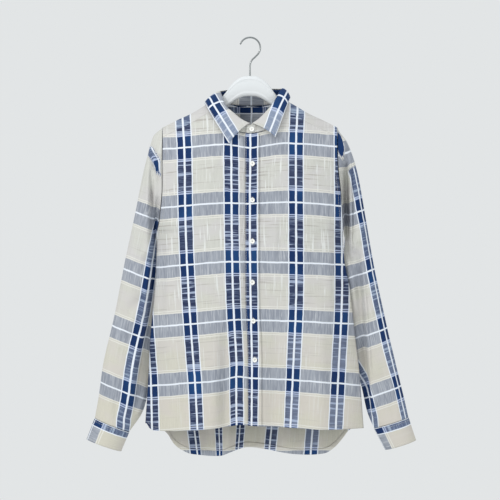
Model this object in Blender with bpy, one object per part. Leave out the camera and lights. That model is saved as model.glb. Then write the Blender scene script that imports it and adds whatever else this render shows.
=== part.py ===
"""Checked long-sleeved shirt, buttoned up and hanging on a broad moulded hanger.

Metres, +Z up.  The front of the shirt faces -Y, and the wearer's right is at -X.
The origin is the inside top of the hanger's hook, where a rail would carry it.
Sizes and tables are in millimetres and are turned to metres by MM.
"""

import math

import bmesh
import bpy
from mathutils import Matrix, Vector

MM = 0.001

# Cloth: one layer is drawn as a wall, and layers and seams keep a small gap.
WALL = 1.4
SEAM_GAP = 0.35
LAYER = WALL + 1.0

# Shoulders: the yoke bends over the hanger's arms on this radius.
BEND_RADIUS = 9.0
YOKE_FRONT = 26.0
YOKE_BACK_Z = -232.0

# Armholes: vertical loops that the sleeves start from.
ARMHOLE_TOP_Z = -184.5
ARMHOLE_HEIGHT = 216.0
ARMHOLE_DEPTH = 25.0
SIDE_SEAM_OFFSET = 1.1

# Front closing.
FRONT_BAND_WIDTH = 28.0
FRONT_UNDERLAP = 10.0
NECK_CORNER_X = 70.0

BUTTON_DIAMETER = 10.0
BUTTON_THICKNESS = 2.4
BUTTON_HEIGHTS = (-262.2, -336.4, -420.5, -504.5, -583.2, -662.8)
STAND_BUTTON_Z = -191.5

HOOK_WIRE = 3.5
HOOK_RADIUS = 21.2
HOOK_STEM_BOTTOM_Z = -92.0

# Side edges of the body: z, x at the wearer's right, x at the wearer's left.
BODY_EDGES = (
    (-184.0, -179.8, 179.8),
    (-262.0, -180.2, 180.4),
    (-320.0, -180.4, 186.5),
    (-372.0, -186.0, 190.5),
    (-400.0, -190.5, 192.2),
    (-457.0, -193.8, 195.0),
    (-520.0, -197.0, 206.5),
    (-620.0, -206.5, 218.0),
    (-700.0, -210.2, 227.0),
    (-811.0, -217.5, 235.5),
)

# Shoulder line: distance from the middle, z.
SHOULDER_LINE = (
    (0.0, -100.0),
    (45.0, -113.0),
    (74.0, -129.0),
    (95.0, -140.5),
    (121.0, -156.0),
    (150.0, -169.5),
    (180.0, -184.5),
)

# Front neck seam: distance from the middle, z.
FRONT_NECK = (
    (0.0, -200.5),
    (22.0, -197.5),
    (42.0, -188.5),
    (56.0, -175.0),
    (64.5, -163.0),
    (70.0, -149.0),
)

# How far the body stands off the hanger's plane: z, to the front, to the back.
BODY_DEPTH = (
    (-100.0, 56.0, 45.0),
    (-150.0, 56.0, 44.0),
    (-204.0, 56.0, 38.0),
    (-300.0, 57.0, 32.0),
    (-450.0, 56.0, 30.0),
    (-620.0, 54.0, 29.0),
    (-811.0, 50.0, 27.0),
    (-870.0, 50.0, 25.0),
)

# Hanging folds: x at the chest, x at the hem, z where it starts, half width, stand-out.
FRONT_FOLDS = (
    (-26.0, -40.0, -470.0, 24.0, -17.0),
    (-100.0, -92.0, -520.0, 34.0, 5.0),
    (52.0, 50.0, -560.0, 26.0, -9.0),
    (150.0, 146.0, -480.0, 34.0, 6.0),
)
BACK_FOLDS = (
    (-135.0, -120.0, -420.0, 40.0, 8.0),
    (-40.0, -62.0, -520.0, 26.0, -9.0),
    (20.0, 5.0, -460.0, 36.0, 13.0),
    (75.0, 78.0, -540.0, 24.0, -8.0),
    (150.0, 146.0, -440.0, 38.0, 9.0),
)

# Hems: x, z.
FRONT_HEM = (
    (-214.0, -797.0),
    (-208.0, -806.0),
    (-198.0, -810.5),
    (-119.0, -807.5),
    (-43.0, -800.5),
    (-18.0, -797.0),
    (25.0, -799.5),
    (92.0, -802.5),
    (151.0, -806.5),
    (235.0, -807.0),
)
BACK_HEM = (
    (-217.0, -797.0),
    (-190.0, -806.0),
    (-172.0, -820.0),
    (-158.0, -842.0),
    (-142.0, -855.0),
    (-121.0, -864.0),
    (-62.0, -866.5),
    (-42.0, -860.0),
    (-10.0, -851.0),
    (28.0, -853.5),
    (107.0, -864.5),
    (156.0, -862.0),
    (176.0, -849.0),
    (194.0, -828.0),
    (206.0, -812.0),
    (233.0, -800.0),
)

# The yoke as a fan from the neck seam to its outer edge, half of it, from the front:
# neck x, neck run from the shoulder line (front -, back +), outer place across the
# body (0 middle, 1 armhole), outer run from the shoulder line (None at the back seam).
YOKE_FAN = (
    (70.0, -26.0, 1.0, -26.0),
    (73.0, -13.0, 1.0, -12.0),
    (74.0, 0.0, 1.0, 3.0),
    (70.5, 8.5, 1.0, 24.0),
    (63.0, 15.0, 1.0, None),
    (47.0, 27.0, 0.64, None),
    (24.0, 39.0, 0.32, None),
    (0.0, 43.6, 0.0, None),
)

# Collar stand, from its under end at the wearer's right round the back to its over
# end: base x, base z, side (-1 front, 1 back), top x, top y, top z.
STAND = (
    (10.0, -200.2, -1, 9.0, -49.2, -182.5),
    (0.0, -200.5, -1, 0.0, -49.6, -181.5),
    (-22.0, -197.5, -1, -16.0, -47.5, -173.0),
    (-42.0, -188.5, -1, -31.0, -42.5, -160.5),
    (-56.0, -175.0, -1, -44.0, -34.0, -148.5),
    (-66.0, -160.0, -1, -52.0, -23.0, -136.0),
    (-72.0, -144.0, -1, -57.0, -11.0, -120.0),
    (-74.0, -129.2, -1, -60.0, 3.0, -112.5),
    (-68.0, -131.5, 1, -57.0, 17.0, -110.0),
    (-52.0, -135.0, 1, -45.0, 29.0, -107.0),
    (-27.0, -137.5, 1, -24.0, 37.0, -104.0),
    (0.0, -138.5, 1, 0.0, 40.0, -103.5),
    (27.0, -137.5, 1, 25.0, 37.0, -103.0),
    (52.0, -135.0, 1, 47.0, 29.0, -104.5),
    (68.0, -131.5, 1, 61.0, 17.0, -105.5),
    (74.0, -129.2, -1, 65.0, 3.0, -106.0),
    (72.0, -144.0, -1, 60.0, -11.0, -113.0),
    (66.0, -160.0, -1, 53.0, -23.0, -127.0),
    (56.0, -175.0, -1, 43.0, -34.0, -143.0),
    (42.0, -188.5, -1, 30.0, -42.5, -158.5),
    (22.0, -197.5, -1, 17.0, -48.0, -172.0),
    (1.0, -200.5, -1, 2.0, -51.9, -182.0),
    (-8.0, -200.2, -1, -7.0, -52.6, -183.5),
)
STAND_UNDER_ROWS = 2
STAND_INSET = 1.8
STAND_RISE = 1.5

# Outer edge of the collar leaf, one row for each stand row between the two ends: x, y, z.
LEAF_EDGE = (
    (-42.3, -60.0, -222.0),
    (-55.0, -55.5, -201.5),
    (-66.5, -49.0, -182.5),
    (-76.0, -41.0, -166.0),
    (-85.0, -30.0, -150.5),
    (-91.0, -16.0, -138.5),
    (-93.0, 4.0, -136.0),
    (-85.0, 25.0, -141.0),
    (-65.0, 42.0, -147.0),
    (-33.0, 50.0, -148.5),
    (0.0, 52.5, -149.0),
    (33.0, 50.0, -148.0),
    (62.0, 42.0, -145.0),
    (77.0, 26.0, -134.0),
    (82.0, 4.0, -127.0),
    (79.5, -16.0, -133.0),
    (75.0, -30.0, -144.0),
    (70.0, -41.0, -158.0),
    (64.0, -49.0, -174.0),
    (58.0, -55.5, -191.0),
    (51.3, -60.0, -209.0),
)
LEAF_ROLL_RISE = 2.0
LEAF_ROLL_OUT = 1.5
LEAF_BULGE = 4.5

# Sleeves, a row for each section: place along it, outer fold x, y, z, inner fold
# x, y, z, half depth.  Signs of x are for each side as it hangs.
RIGHT_SLEEVE = (
    (0.00, -181.4, 0.0, -184.5, -191.9, 0.0, -399.5, 25.0),
    (0.03, -188.0, 0.0, -187.0, -196.5, 6.0, -408.0, 26.0),
    (0.08, -198.0, 0.5, -198.0, -196.5, 15.0, -424.0, 28.0),
    (0.16, -207.5, 1.0, -227.0, -192.5, 23.0, -456.0, 30.0),
    (0.27, -221.5, 2.0, -282.0, -191.5, 28.0, -500.0, 31.0),
    (0.40, -238.0, 3.0, -364.0, -195.0, 30.0, -556.0, 31.0),
    (0.54, -258.0, 4.0, -457.0, -200.0, 30.0, -622.0, 31.0),
    (0.68, -280.0, 6.0, -570.0, -205.5, 29.0, -682.0, 30.0),
    (0.82, -303.5, 8.0, -670.0, -211.5, 26.0, -727.0, 29.0),
    (0.92, -314.0, 10.0, -745.0, -224.0, 21.0, -776.0, 28.0),
    (1.00, -321.7, 12.0, -786.6, -251.0, 15.0, -815.6, 27.0),
)
LEFT_SLEEVE = (
    (0.00, 181.4, 0.0, -184.5, 193.6, 0.0, -399.5, 25.0),
    (0.03, 187.5, 0.0, -190.0, 198.0, 6.0, -408.0, 26.0),
    (0.08, 197.0, 0.5, -207.0, 198.5, 15.0, -424.0, 28.0),
    (0.16, 212.0, 1.0, -243.0, 195.5, 23.0, -456.0, 30.0),
    (0.27, 225.0, 2.0, -290.0, 197.0, 28.0, -500.0, 31.0),
    (0.40, 240.0, 3.0, -375.0, 203.0, 30.0, -556.0, 31.0),
    (0.54, 256.0, 4.0, -468.0, 211.0, 30.0, -622.0, 31.0),
    (0.68, 278.0, 6.0, -571.0, 221.0, 29.0, -682.0, 30.0),
    (0.82, 303.5, 8.0, -681.0, 233.5, 26.0, -727.0, 29.0),
    (0.92, 319.5, 10.0, -746.0, 244.0, 21.0, -775.0, 28.0),
    (1.00, 328.6, 12.0, -785.0, 257.5, 15.0, -807.6, 27.0),
)

# Cuffs: outer fold x, z and inner fold x, z, at the sleeve and at the open end.
RIGHT_CUFF = ((-321.9, -787.4, -251.2, -816.4), (-339.0, -831.0, -268.0, -856.0))
LEFT_CUFF = ((328.8, -785.8, 257.6, -808.4), (344.3, -833.0, 281.0, -853.0))
CUFF_MIDDLE_Y = 13.0
CUFF_HALF_DEPTH = 27.0

# Hanger body: distance from the middle, top z, bottom z, half thickness.
HANGER = (
    (0.0, -77.8, -120.0, 7.0),
    (15.0, -79.2, -121.5, 7.0),
    (29.0, -87.0, -128.0, 7.0),
    (40.5, -98.5, -136.5, 7.2),
    (50.0, -112.0, -143.0, 7.4),
    (62.0, -124.5, -150.5, 7.6),
    (78.0, -134.6, -158.5, 7.8),
    (100.0, -147.0, -168.5, 8.0),
    (121.0, -159.8, -178.0, 7.8),
    (145.0, -171.2, -189.0, 7.2),
    (160.0, -179.4, -195.0, 6.2),
    (168.0, -184.2, -196.5, 4.8),
    (171.5, -187.4, -194.0, 3.0),
)


def read_table(rows, at, column):
    """Value of a column where the first column is `at`, on a smooth curve through the rows."""
    if at <= rows[0][0]:
        return rows[0][column]
    if at >= rows[-1][0]:
        return rows[-1][column]
    index = 0
    while rows[index + 1][0] < at:
        index += 1
    start, end = rows[index], rows[index + 1]
    before = rows[index - 1] if index > 0 else start
    after = rows[index + 2] if index + 2 < len(rows) else end
    span = end[0] - start[0]
    part = (at - start[0]) / span
    slope_start = (end[column] - before[column]) / (end[0] - before[0]) * span
    slope_end = (after[column] - start[column]) / (after[0] - start[0]) * span
    square, cube = part * part, part * part * part
    return (
        start[column] * (2 * cube - 3 * square + 1)
        + slope_start * (cube - 2 * square + part)
        + end[column] * (3 * square - 2 * cube)
        + slope_end * (cube - square)
    )


def falling(rows):
    """The rows of a table that runs down in z, turned so that its first column rises."""
    return tuple(sorted(rows, key=lambda row: row[0]))


def by_steps(rows):
    """A table whose first column is the row's place from 0 to 1."""
    last = len(rows) - 1
    return tuple((index / last,) + tuple(row) for index, row in enumerate(rows))


def mix(start, end, part):
    return start + (end - start) * part


def ease(part):
    """0 to 1 with a soft start and end."""
    part = min(max(part, 0.0), 1.0)
    return part * part * (3 - 2 * part)


EDGES = falling(BODY_EDGES)
DEPTHS = falling(BODY_DEPTH)
STAND_STEPS = by_steps(STAND)
LEAF_STEPS = by_steps(LEAF_EDGE)


def shoulder_z(x):
    return read_table(SHOULDER_LINE, abs(x), 1)


def hanger_clearance(x):
    """Half the hanger's thickness and the cloth that lies on it."""
    return read_table(HANGER, abs(x), 3) + 1.6


def run_to_drop(run):
    """Height lost after a run of cloth from the shoulder line."""
    quarter = BEND_RADIUS * math.pi / 2
    if run < quarter:
        return BEND_RADIUS * (1 - math.cos(run / BEND_RADIUS))
    return BEND_RADIUS + run - quarter


def armhole_depth(z):
    """Half depth of the armhole's loop, closing to the side seam under the arm."""
    part = (ARMHOLE_TOP_Z - z) / ARMHOLE_HEIGHT
    if part >= 1.0:
        return SIDE_SEAM_OFFSET
    loop = 2 * ARMHOLE_DEPTH * math.sqrt(max(part, 0.0) * (1 - part))
    return math.hypot(loop, SIDE_SEAM_OFFSET) if part > 0.5 else loop


def fold_depth(folds, x, z):
    total = 0.0
    for chest_x, hem_x, start_z, half_width, stand_out in folds:
        part = ease((start_z - z) / (start_z + 811.0))
        middle = mix(chest_x, hem_x, part)
        total += stand_out * part * math.exp(-(((x - middle) / half_width) ** 2))
    return total


def body_depth(side, x, z):
    """Distance of the body's cloth from the hanger's plane; side is -1 front, 1 back."""
    left = read_table(EDGES, z, 1)
    right = read_table(EDGES, z, 2)
    across = (2 * x - left - right) / (right - left)
    to_edge = min(abs(across), 1.0) ** 4
    drop = max(shoulder_z(x) - z, 0.0)
    round_over = hanger_clearance(x)
    bend = math.sqrt(1 - (1 - min(drop / round_over, 1.0)) ** 2)
    full = read_table(DEPTHS, z, 1 if side < 0 else 2)
    full += fold_depth(FRONT_FOLDS if side < 0 else BACK_FOLDS, x, z)
    spread = 45.0 if side < 0 else 25.0
    inner = round_over * bend + (full - round_over) * (1 - math.exp(-drop / spread))
    return mix(inner, armhole_depth(z), to_edge)


def body_point(side, x, z, out=0.0):
    """A point of the body's cloth; `out` lifts it off the cloth, away from the hanger."""
    return Vector((x, side * (body_depth(side, x, z) + out), z))


def shoulder_point(x, run):
    """A point at a run of cloth from the shoulder line, to the front (-) or the back (+)."""
    side = -1 if run < 0 else 1
    return body_point(side, x, shoulder_z(x) - run_to_drop(abs(run)))


def closing_x(z):
    """Middle of the front band: it leans a little to the wearer's left towards the hem."""
    return 4.8 + 5.0 * ease((-520.0 - z) / 150.0)


def front_top_z(x):
    if abs(x) < NECK_CORNER_X:
        return read_table(FRONT_NECK, abs(x), 1)
    return shoulder_z(x) - run_to_drop(YOKE_FRONT) - 2 * SEAM_GAP


def front_panel_point(wearers_side, across, down):
    """Right front (-1) or left front (1): across from its side seam to the closing."""
    if wearers_side < 0:
        edge_column = 1
        inner_shift = FRONT_UNDERLAP
    else:
        edge_column = 2
        inner_shift = -FRONT_BAND_WIDTH / 2
    top_x = mix(read_table(EDGES, -200.0, edge_column), closing_x(-200.0) + inner_shift, across)
    hem_x = mix(read_table(EDGES, -811.0, edge_column), closing_x(-800.0) + inner_shift, across)
    z = mix(front_top_z(top_x), read_table(FRONT_HEM, hem_x, 1), down)
    x = mix(read_table(EDGES, z, edge_column), closing_x(z) + inner_shift, across)
    under = 0.0
    if wearers_side < 0:
        under = -LAYER * ease((x - closing_x(z) + 44.0) / 26.0)
    return body_point(-1, x, z, under)


def front_band_point(across, down):
    x_shift = mix(-FRONT_BAND_WIDTH / 2, FRONT_BAND_WIDTH / 2, across)
    z = mix(-201.2, read_table(FRONT_HEM, closing_x(-800.0) + x_shift, 1), down)
    return body_point(-1, closing_x(z) + x_shift, z, LAYER)


def back_point(across, down):
    hem_x = mix(read_table(EDGES, -811.0, 1), read_table(EDGES, -811.0, 2), across)
    z = mix(YOKE_BACK_Z - 1.5 * SEAM_GAP, read_table(BACK_HEM, hem_x, 1), down)
    x = mix(read_table(EDGES, z, 1), read_table(EDGES, z, 2), across)
    return body_point(1, x, z)


def yoke_rows():
    """The fan's rows all round the neck, from the wearer's right front to the left front."""
    right = [(-x, run, -place, outer) for x, run, place, outer in YOKE_FAN]
    left = [tuple(row) for row in reversed(YOKE_FAN[:-1])]
    return right + left


def yoke_point(around, outward):
    rows = yoke_rows()
    at = around * (len(rows) - 1)
    index = min(int(at), len(rows) - 2)
    part = at - index

    def ends(row):
        neck_x, neck_run, place, outer_run = row
        outer_x = place * read_table(EDGES, ARMHOLE_TOP_Z, 2)
        if outer_run is None:
            drop = shoulder_z(outer_x) - YOKE_BACK_Z
            outer_run = drop - BEND_RADIUS + BEND_RADIUS * math.pi / 2
        return neck_x, neck_run, outer_x, outer_run

    first, second = ends(rows[index]), ends(rows[index + 1])
    neck_x, neck_run, outer_x, outer_run = (mix(a, b, part) for a, b in zip(first, second))
    return shoulder_point(mix(neck_x, outer_x, outward), mix(neck_run, outer_run, outward))


def stand_base(step):
    """A point just above the neck seam."""
    x = read_table(STAND_STEPS, step, 1)
    x -= math.copysign(min(STAND_INSET, abs(x) / 20), x)
    z = read_table(STAND_STEPS, step, 2)
    index = min(int(step * (len(STAND) - 1) + 0.5), len(STAND) - 1)
    side = STAND[index][2]
    under = -LAYER * (1 - ease(step * (len(STAND) - 1) - 1.0))
    over = SEAM_GAP * ease(step * (len(STAND) - 1) - len(STAND) + 3.0)
    return body_point(side, x, z, under + over) + Vector((0.0, 0.0, STAND_RISE))


def stand_top(step):
    return Vector([read_table(STAND_STEPS, step, column) for column in (4, 5, 6)])


def stand_point(around, up):
    base = stand_base(around)
    top = stand_top(around)
    return base.lerp(top, up)


def leaf_point(around, outward):
    first = (STAND_UNDER_ROWS - 1) / (len(STAND) - 1)
    last = 1 - 1 / (len(STAND) - 1)
    roll = stand_top(mix(first, last, around)) + Vector((0.0, 0.0, LEAF_ROLL_RISE))
    if around < 1 / (len(LEAF_EDGE) - 1):
        part = 1 - around * (len(LEAF_EDGE) - 1)
        roll += Vector((1.5, -3.4, 0.0)) * part
    edge = Vector([read_table(LEAF_STEPS, around, column) for column in (1, 2, 3)])
    outwards = Vector((edge.x, edge.y, 0.0)).normalized()
    roll += outwards * LEAF_ROLL_OUT
    swell = LEAF_BULGE * math.sin(math.pi * outward) ** 0.5 if 0 < outward < 1 else 0.0
    return roll.lerp(edge, outward) + (outwards + Vector((0.0, 0.0, 0.8))) * swell


def sleeve_point(rows, around, along):
    """A ring of the sleeve; around 0 is its outer fold, and it turns by the front."""
    out = Vector([read_table(rows, along, column) for column in (1, 2, 3)])
    inner = Vector([read_table(rows, along, column) for column in (4, 5, 6)])
    half_depth = read_table(rows, along, 7)
    angle = 2 * math.pi * around
    point = (out + inner) / 2 + (out - inner) / 2 * math.cos(angle)
    point.y -= half_depth * math.sin(angle)
    seam = 1 - ease(along / 0.10)
    if seam > 0:
        column = 1 if rows[0][1] < 0 else 2
        chord = mix(inner.x, out.x, (math.cos(angle) + 1) / 2)
        edge = read_table(EDGES, point.z, column) + math.copysign(WALL / 2 + 3 * SEAM_GAP, rows[0][1])
        point.x += (edge - chord) * seam
    return point


def cuff_point(rows, around, along):
    (out_x, out_z, in_x, in_z), (end_out_x, end_out_z, end_in_x, end_in_z) = rows
    out = Vector((mix(out_x, end_out_x, along), CUFF_MIDDLE_Y, mix(out_z, end_out_z, along)))
    inner = Vector((mix(in_x, end_in_x, along), CUFF_MIDDLE_Y, mix(in_z, end_in_z, along)))
    angle = 2 * math.pi * around
    point = (out + inner) / 2 + (out - inner) / 2 * math.cos(angle)
    point.y -= CUFF_HALF_DEPTH * math.sin(angle)
    return point


def hanger_point(around, along):
    x = mix(-HANGER[-1][0], HANGER[-1][0], along)
    top = read_table(HANGER, abs(x), 1)
    bottom = read_table(HANGER, abs(x), 2)
    half = read_table(HANGER, abs(x), 3)
    angle = 2 * math.pi * around
    rise = math.copysign(abs(math.cos(angle)) ** 0.9, math.cos(angle))
    reach = math.copysign(abs(math.sin(angle)) ** 0.8, math.sin(angle))
    return Vector((x, half * reach, (top + bottom) / 2 + (top - bottom) / 2 * rise))


def clear_scene():
    for item in list(bpy.data.objects):
        bpy.data.objects.remove(item, do_unlink=True)


def material(name, colour, roughness, metallic=0.0):
    made = bpy.data.materials.new(name)
    made.use_nodes = True
    shader = made.node_tree.nodes["Principled BSDF"]
    shader.inputs["Base Color"].default_value = (*colour, 1.0)
    shader.inputs["Roughness"].default_value = roughness
    shader.inputs["Metallic"].default_value = metallic
    return made


def add_object(name, mesh_builder, finish):
    mesh = bpy.data.meshes.new(name)
    mesh_builder.to_mesh(mesh)
    mesh_builder.free()
    made = bpy.data.objects.new(name, mesh)
    bpy.context.scene.collection.objects.link(made)
    mesh.materials.append(finish)
    mesh.shade_smooth()
    mesh.set_sharp_from_angle(angle=math.radians(40))
    return made


def placed_grid(columns, rows, place, closed):
    """A grid whose points go where `place(across, along)` says; closed joins its two sides."""
    builder = bmesh.new()
    bmesh.ops.create_grid(builder, x_segments=columns, y_segments=rows, size=0.5)
    for vertex in builder.verts:
        vertex.co = place(vertex.co.x + 0.5, vertex.co.y + 0.5) * MM
    if closed:
        bmesh.ops.remove_doubles(builder, verts=builder.verts, dist=0.02 * MM)
    return builder


def cloth_wall(name, columns, rows, place, finish, closed=False):
    """A sheet of cloth as a wall of even thickness, half to each side of its points."""
    made = add_object(name, placed_grid(columns, rows, place, closed), finish)
    solidify = made.modifiers.new("wall", "SOLIDIFY")
    solidify.thickness = WALL * MM
    solidify.offset = 0.0
    solidify.use_even_offset = not closed
    return made


def solid_tube(name, columns, rows, place, finish):
    """A closed tube with filled ends."""
    builder = placed_grid(columns, rows, place, True)
    open_edges = [edge for edge in builder.edges if edge.is_boundary]
    bmesh.ops.holes_fill(builder, edges=open_edges, sides=0)
    bmesh.ops.recalc_face_normals(builder, faces=builder.faces)
    return add_object(name, builder, finish)


def add_button(name, seat, facing, finish):
    """A round button whose back lies on `seat`, its axis along `facing`."""
    builder = bmesh.new()
    bmesh.ops.create_cone(
        builder,
        cap_ends=True,
        segments=16,
        radius1=BUTTON_DIAMETER / 2 * MM,
        radius2=BUTTON_DIAMETER / 2 * MM,
        depth=BUTTON_THICKNESS * MM,
    )
    rims = [edge for edge in builder.edges if abs(edge.verts[0].co.z - edge.verts[1].co.z) < 1e-6]
    bmesh.ops.bevel(
        builder, geom=rims, offset=0.5 * MM, segments=1, profile=0.5, affect="EDGES", material=-1
    )
    made = add_object(name, builder, finish)
    middle = seat + facing * (BUTTON_THICKNESS / 2 + SEAM_GAP)
    made.location = middle * MM
    made.rotation_mode = "QUATERNION"
    made.rotation_quaternion = Vector((0.0, 0.0, 1.0)).rotation_difference(facing)
    return made


def surface_normal(place, across, along):
    """Outward direction of a placed sheet at a point, away from the middle of the object."""
    step = 0.004
    side = place(across + step, along) - place(across - step, along)
    down = place(across, along + step) - place(across, along - step)
    normal = side.cross(down).normalized()
    outward = place(across, along)
    if normal.dot(Vector((outward.x * 0.2, outward.y, 0.0))) < 0:
        normal.negate()
    return normal


def add_front_buttons(finish):
    top_z, hem_z = -201.2, read_table(FRONT_HEM, closing_x(-800.0), 1)
    for number, height in enumerate(BUTTON_HEIGHTS, start=1):
        down = (height - top_z) / (hem_z - top_z)
        normal = surface_normal(front_band_point, 0.5, down)
        seat = front_band_point(0.5, down) + normal * (WALL / 2)
        add_button(f"button_{number}", seat, normal, finish)


def add_stand_button(finish):
    around = 1 - 0.62 / (len(STAND) - 1)
    base, top = stand_point(around, 0.0), stand_point(around, 1.0)
    up = (STAND_BUTTON_Z - base.z) / (top.z - base.z)
    seat = stand_point(around, up)
    seat.x = 3.6
    normal = Vector((0.0, -1.0, 0.08)).normalized()
    add_button("button_stand", seat + normal * (WALL / 2 + 0.5), normal, finish)


def add_cuff_button(name, rows, finish):
    def place(around, along):
        return cuff_point(rows, around, along)

    around = 0.70
    seat = place(around, 0.5)
    side = place(around + 0.01, 0.5) - place(around - 0.01, 0.5)
    down = place(around, 0.6) - place(around, 0.4)
    normal = side.cross(down).normalized()
    middle = (place(0.0, 0.5) + place(0.5, 0.5)) / 2
    if normal.dot(seat - middle) < 0:
        normal.negate()
    add_button(name, seat + normal * (WALL / 2 + 0.35), normal, finish)


def add_hook(finish):
    """Bent wire: an open round hook, a soft bend back to the middle, and a straight stem."""
    middle_z = HOOK_WIRE / 2 - HOOK_RADIUS
    points = []
    for step in range(27):
        angle = math.radians(mix(162.0, -52.0, step / 26))
        points.append((HOOK_RADIUS * math.cos(angle), middle_z + HOOK_RADIUS * math.sin(angle)))
    points += [(9.2, -40.2), (5.2, -43.6), (2.2, -47.2), (0.6, -51.6), (0.0, -57.0)]
    points.append((0.0, HOOK_STEM_BOTTOM_Z))
    wire = bpy.data.curves.new("hanger_hook", "CURVE")
    wire.dimensions = "3D"
    wire.bevel_depth = HOOK_WIRE / 2 * MM
    wire.bevel_resolution = 2
    wire.use_fill_caps = True
    spline = wire.splines.new("POLY")
    spline.points.add(len(points) - 1)
    for point, (x, z) in zip(spline.points, points):
        point.co = (x * MM, 0.0, z * MM, 1.0)
    made = bpy.data.objects.new("hanger_hook", wire)
    bpy.context.scene.collection.objects.link(made)
    wire.materials.append(finish)
    return made


def add_hanger(finish):
    body = solid_tube("hanger_body", 12, 44, hanger_point, finish)
    bore = bmesh.new()
    bmesh.ops.create_cone(
        bore,
        cap_ends=True,
        segments=16,
        radius1=(HOOK_WIRE / 2 + SEAM_GAP) * MM,
        radius2=(HOOK_WIRE / 2 + SEAM_GAP) * MM,
        depth=40.0 * MM,
        matrix=Matrix.Translation((0.0, 0.0, (HOOK_STEM_BOTTOM_Z - SEAM_GAP + 20.0) * MM)),
    )
    cutter = add_object("hook_bore", bore, finish)
    cutter.hide_render = True
    cutter.display_type = "WIRE"
    cut = body.modifiers.new("hook bore", "BOOLEAN")
    cut.operation = "DIFFERENCE"
    cut.solver = "EXACT"
    cut.object = cutter
    return body


def build():
    clear_scene()
    cloth = material("checked_cloth", (0.73, 0.70, 0.60), 0.85)
    sleeve_cloth = material("sleeve_cloth", (0.66, 0.66, 0.62), 0.85)
    band_cloth = material("band_cloth", (0.30, 0.38, 0.55), 0.85)
    button_finish = material("button_resin", (0.90, 0.88, 0.83), 0.30)
    hanger_finish = material("hanger_plastic", (0.88, 0.88, 0.87), 0.40)
    hook_finish = material("hook_steel", (0.62, 0.63, 0.64), 0.28, 1.0)

    cloth_wall("right_front", 11, 16, lambda u, v: front_panel_point(-1, u, v), cloth)
    cloth_wall("left_front", 11, 16, lambda u, v: front_panel_point(1, u, v), cloth)
    cloth_wall("front_band", 2, 20, front_band_point, band_cloth)
    cloth_wall("back", 22, 15, back_point, cloth)
    cloth_wall("yoke", 42, 9, yoke_point, band_cloth)
    cloth_wall("collar_stand", 44, 2, stand_point, cloth)
    cloth_wall("collar", 40, 5, leaf_point, band_cloth)
    for name, sleeve, cuff in (
        ("right", RIGHT_SLEEVE, RIGHT_CUFF),
        ("left", LEFT_SLEEVE, LEFT_CUFF),
    ):
        cloth_wall(
            f"{name}_sleeve", 20, 16, lambda u, v, s=sleeve: sleeve_point(s, u, v), sleeve_cloth, True
        )
        cloth_wall(f"{name}_cuff", 20, 2, lambda u, v, c=cuff: cuff_point(c, u, v), cloth, True)
        add_cuff_button(f"button_cuff_{name}", cuff, button_finish)
    add_stand_button(button_finish)
    add_front_buttons(button_finish)
    add_hanger(hanger_finish)
    add_hook(hook_finish)


build()
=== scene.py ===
"""Looks of the checked shirt on its hanger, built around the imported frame.

Metres, +Z up, the shirt's front faces -Y and the wearer's right is at -X.  Sizes and
tables are in millimetres and are turned to metres by MM.
"""

import math
from functools import partial

import bmesh
import bpy
from mathutils import Matrix, Vector, noise


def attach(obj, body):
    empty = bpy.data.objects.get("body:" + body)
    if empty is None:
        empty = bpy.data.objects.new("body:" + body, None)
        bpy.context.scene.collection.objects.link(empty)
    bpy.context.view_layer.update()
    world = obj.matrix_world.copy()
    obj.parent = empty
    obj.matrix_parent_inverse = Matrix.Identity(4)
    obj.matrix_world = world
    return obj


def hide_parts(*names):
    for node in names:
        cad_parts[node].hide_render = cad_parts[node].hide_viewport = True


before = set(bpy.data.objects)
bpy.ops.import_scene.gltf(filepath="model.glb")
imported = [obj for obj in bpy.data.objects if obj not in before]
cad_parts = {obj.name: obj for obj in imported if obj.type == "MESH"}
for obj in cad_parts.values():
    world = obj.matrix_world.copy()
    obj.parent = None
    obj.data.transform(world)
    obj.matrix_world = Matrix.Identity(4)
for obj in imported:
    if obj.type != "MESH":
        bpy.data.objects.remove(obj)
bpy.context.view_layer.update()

MM = 0.001

# Cloth: one layer is drawn as a wall, and layers and seams keep a small gap.
WALL = 1.4
SEAM_GAP = 0.35
LAYER = WALL + 1.0

# Shoulders: the yoke bends over the hanger's arms on this radius.
BEND_RADIUS = 9.0
YOKE_FRONT = 26.0
YOKE_BACK_Z = -232.0

# Armholes: vertical loops that the sleeves start from.
ARMHOLE_TOP_Z = -184.5
ARMHOLE_HEIGHT = 216.0
ARMHOLE_DEPTH = 25.0
SIDE_SEAM_OFFSET = 1.1

# The cloth clears the hanger, and comes to its full depth over a run below the shoulder.
HANGER_CLEARANCE = 1.6
FRONT_SPREAD = 45.0
BACK_SPREAD = 25.0
NECK_Z = -200.0
HEM_Z = -811.0

# Front closing.
FRONT_BAND_WIDTH = 28.0
FRONT_BAND_TOP_Z = -201.2
FRONT_UNDERLAP = 10.0
NECK_CORNER_X = 70.0

# The band's middle: x at the top, lean to the hem, where the lean starts and its length.
CLOSING = (4.8, 5.0, -520.0, 150.0)

# The right front dips under the left one from this far before the band's middle, over
# this width.
UNDERLAP_FROM = 44.0
UNDERLAP_OVER = 26.0

# Buttons: heights of the six on the band, and the place of the one on the stand, with
# how many of the stand's rows it lies before the over end.
BUTTON_HEIGHTS = (-262.2, -336.4, -420.5, -504.5, -583.2, -662.8)
BUTTON_LIFT = 0.85
STAND_BUTTON_X = 3.6
STAND_BUTTON_Z = -191.5
STAND_BUTTON_ROW = 0.62
STAND_BUTTON_LIFT = 1.4

# Half a button's section, as distance out and up, with its four holes.
BUTTON_PROFILE = (
    (0, 0.9), (2.3, 0.9), (2.9, 1.3), (3.6, 1.9), (4.2, 2.1), (4.7, 1.9), (5, 1.3), (4.9, 0.7),
    (4.4, 0.2), (3.6, 0), (0, 0),
)
BUTTON_HOLE_RADIUS = 0.65
BUTTON_HOLE_OUT = 1.1
BUTTONHOLE_LENGTH = 14.0

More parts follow.
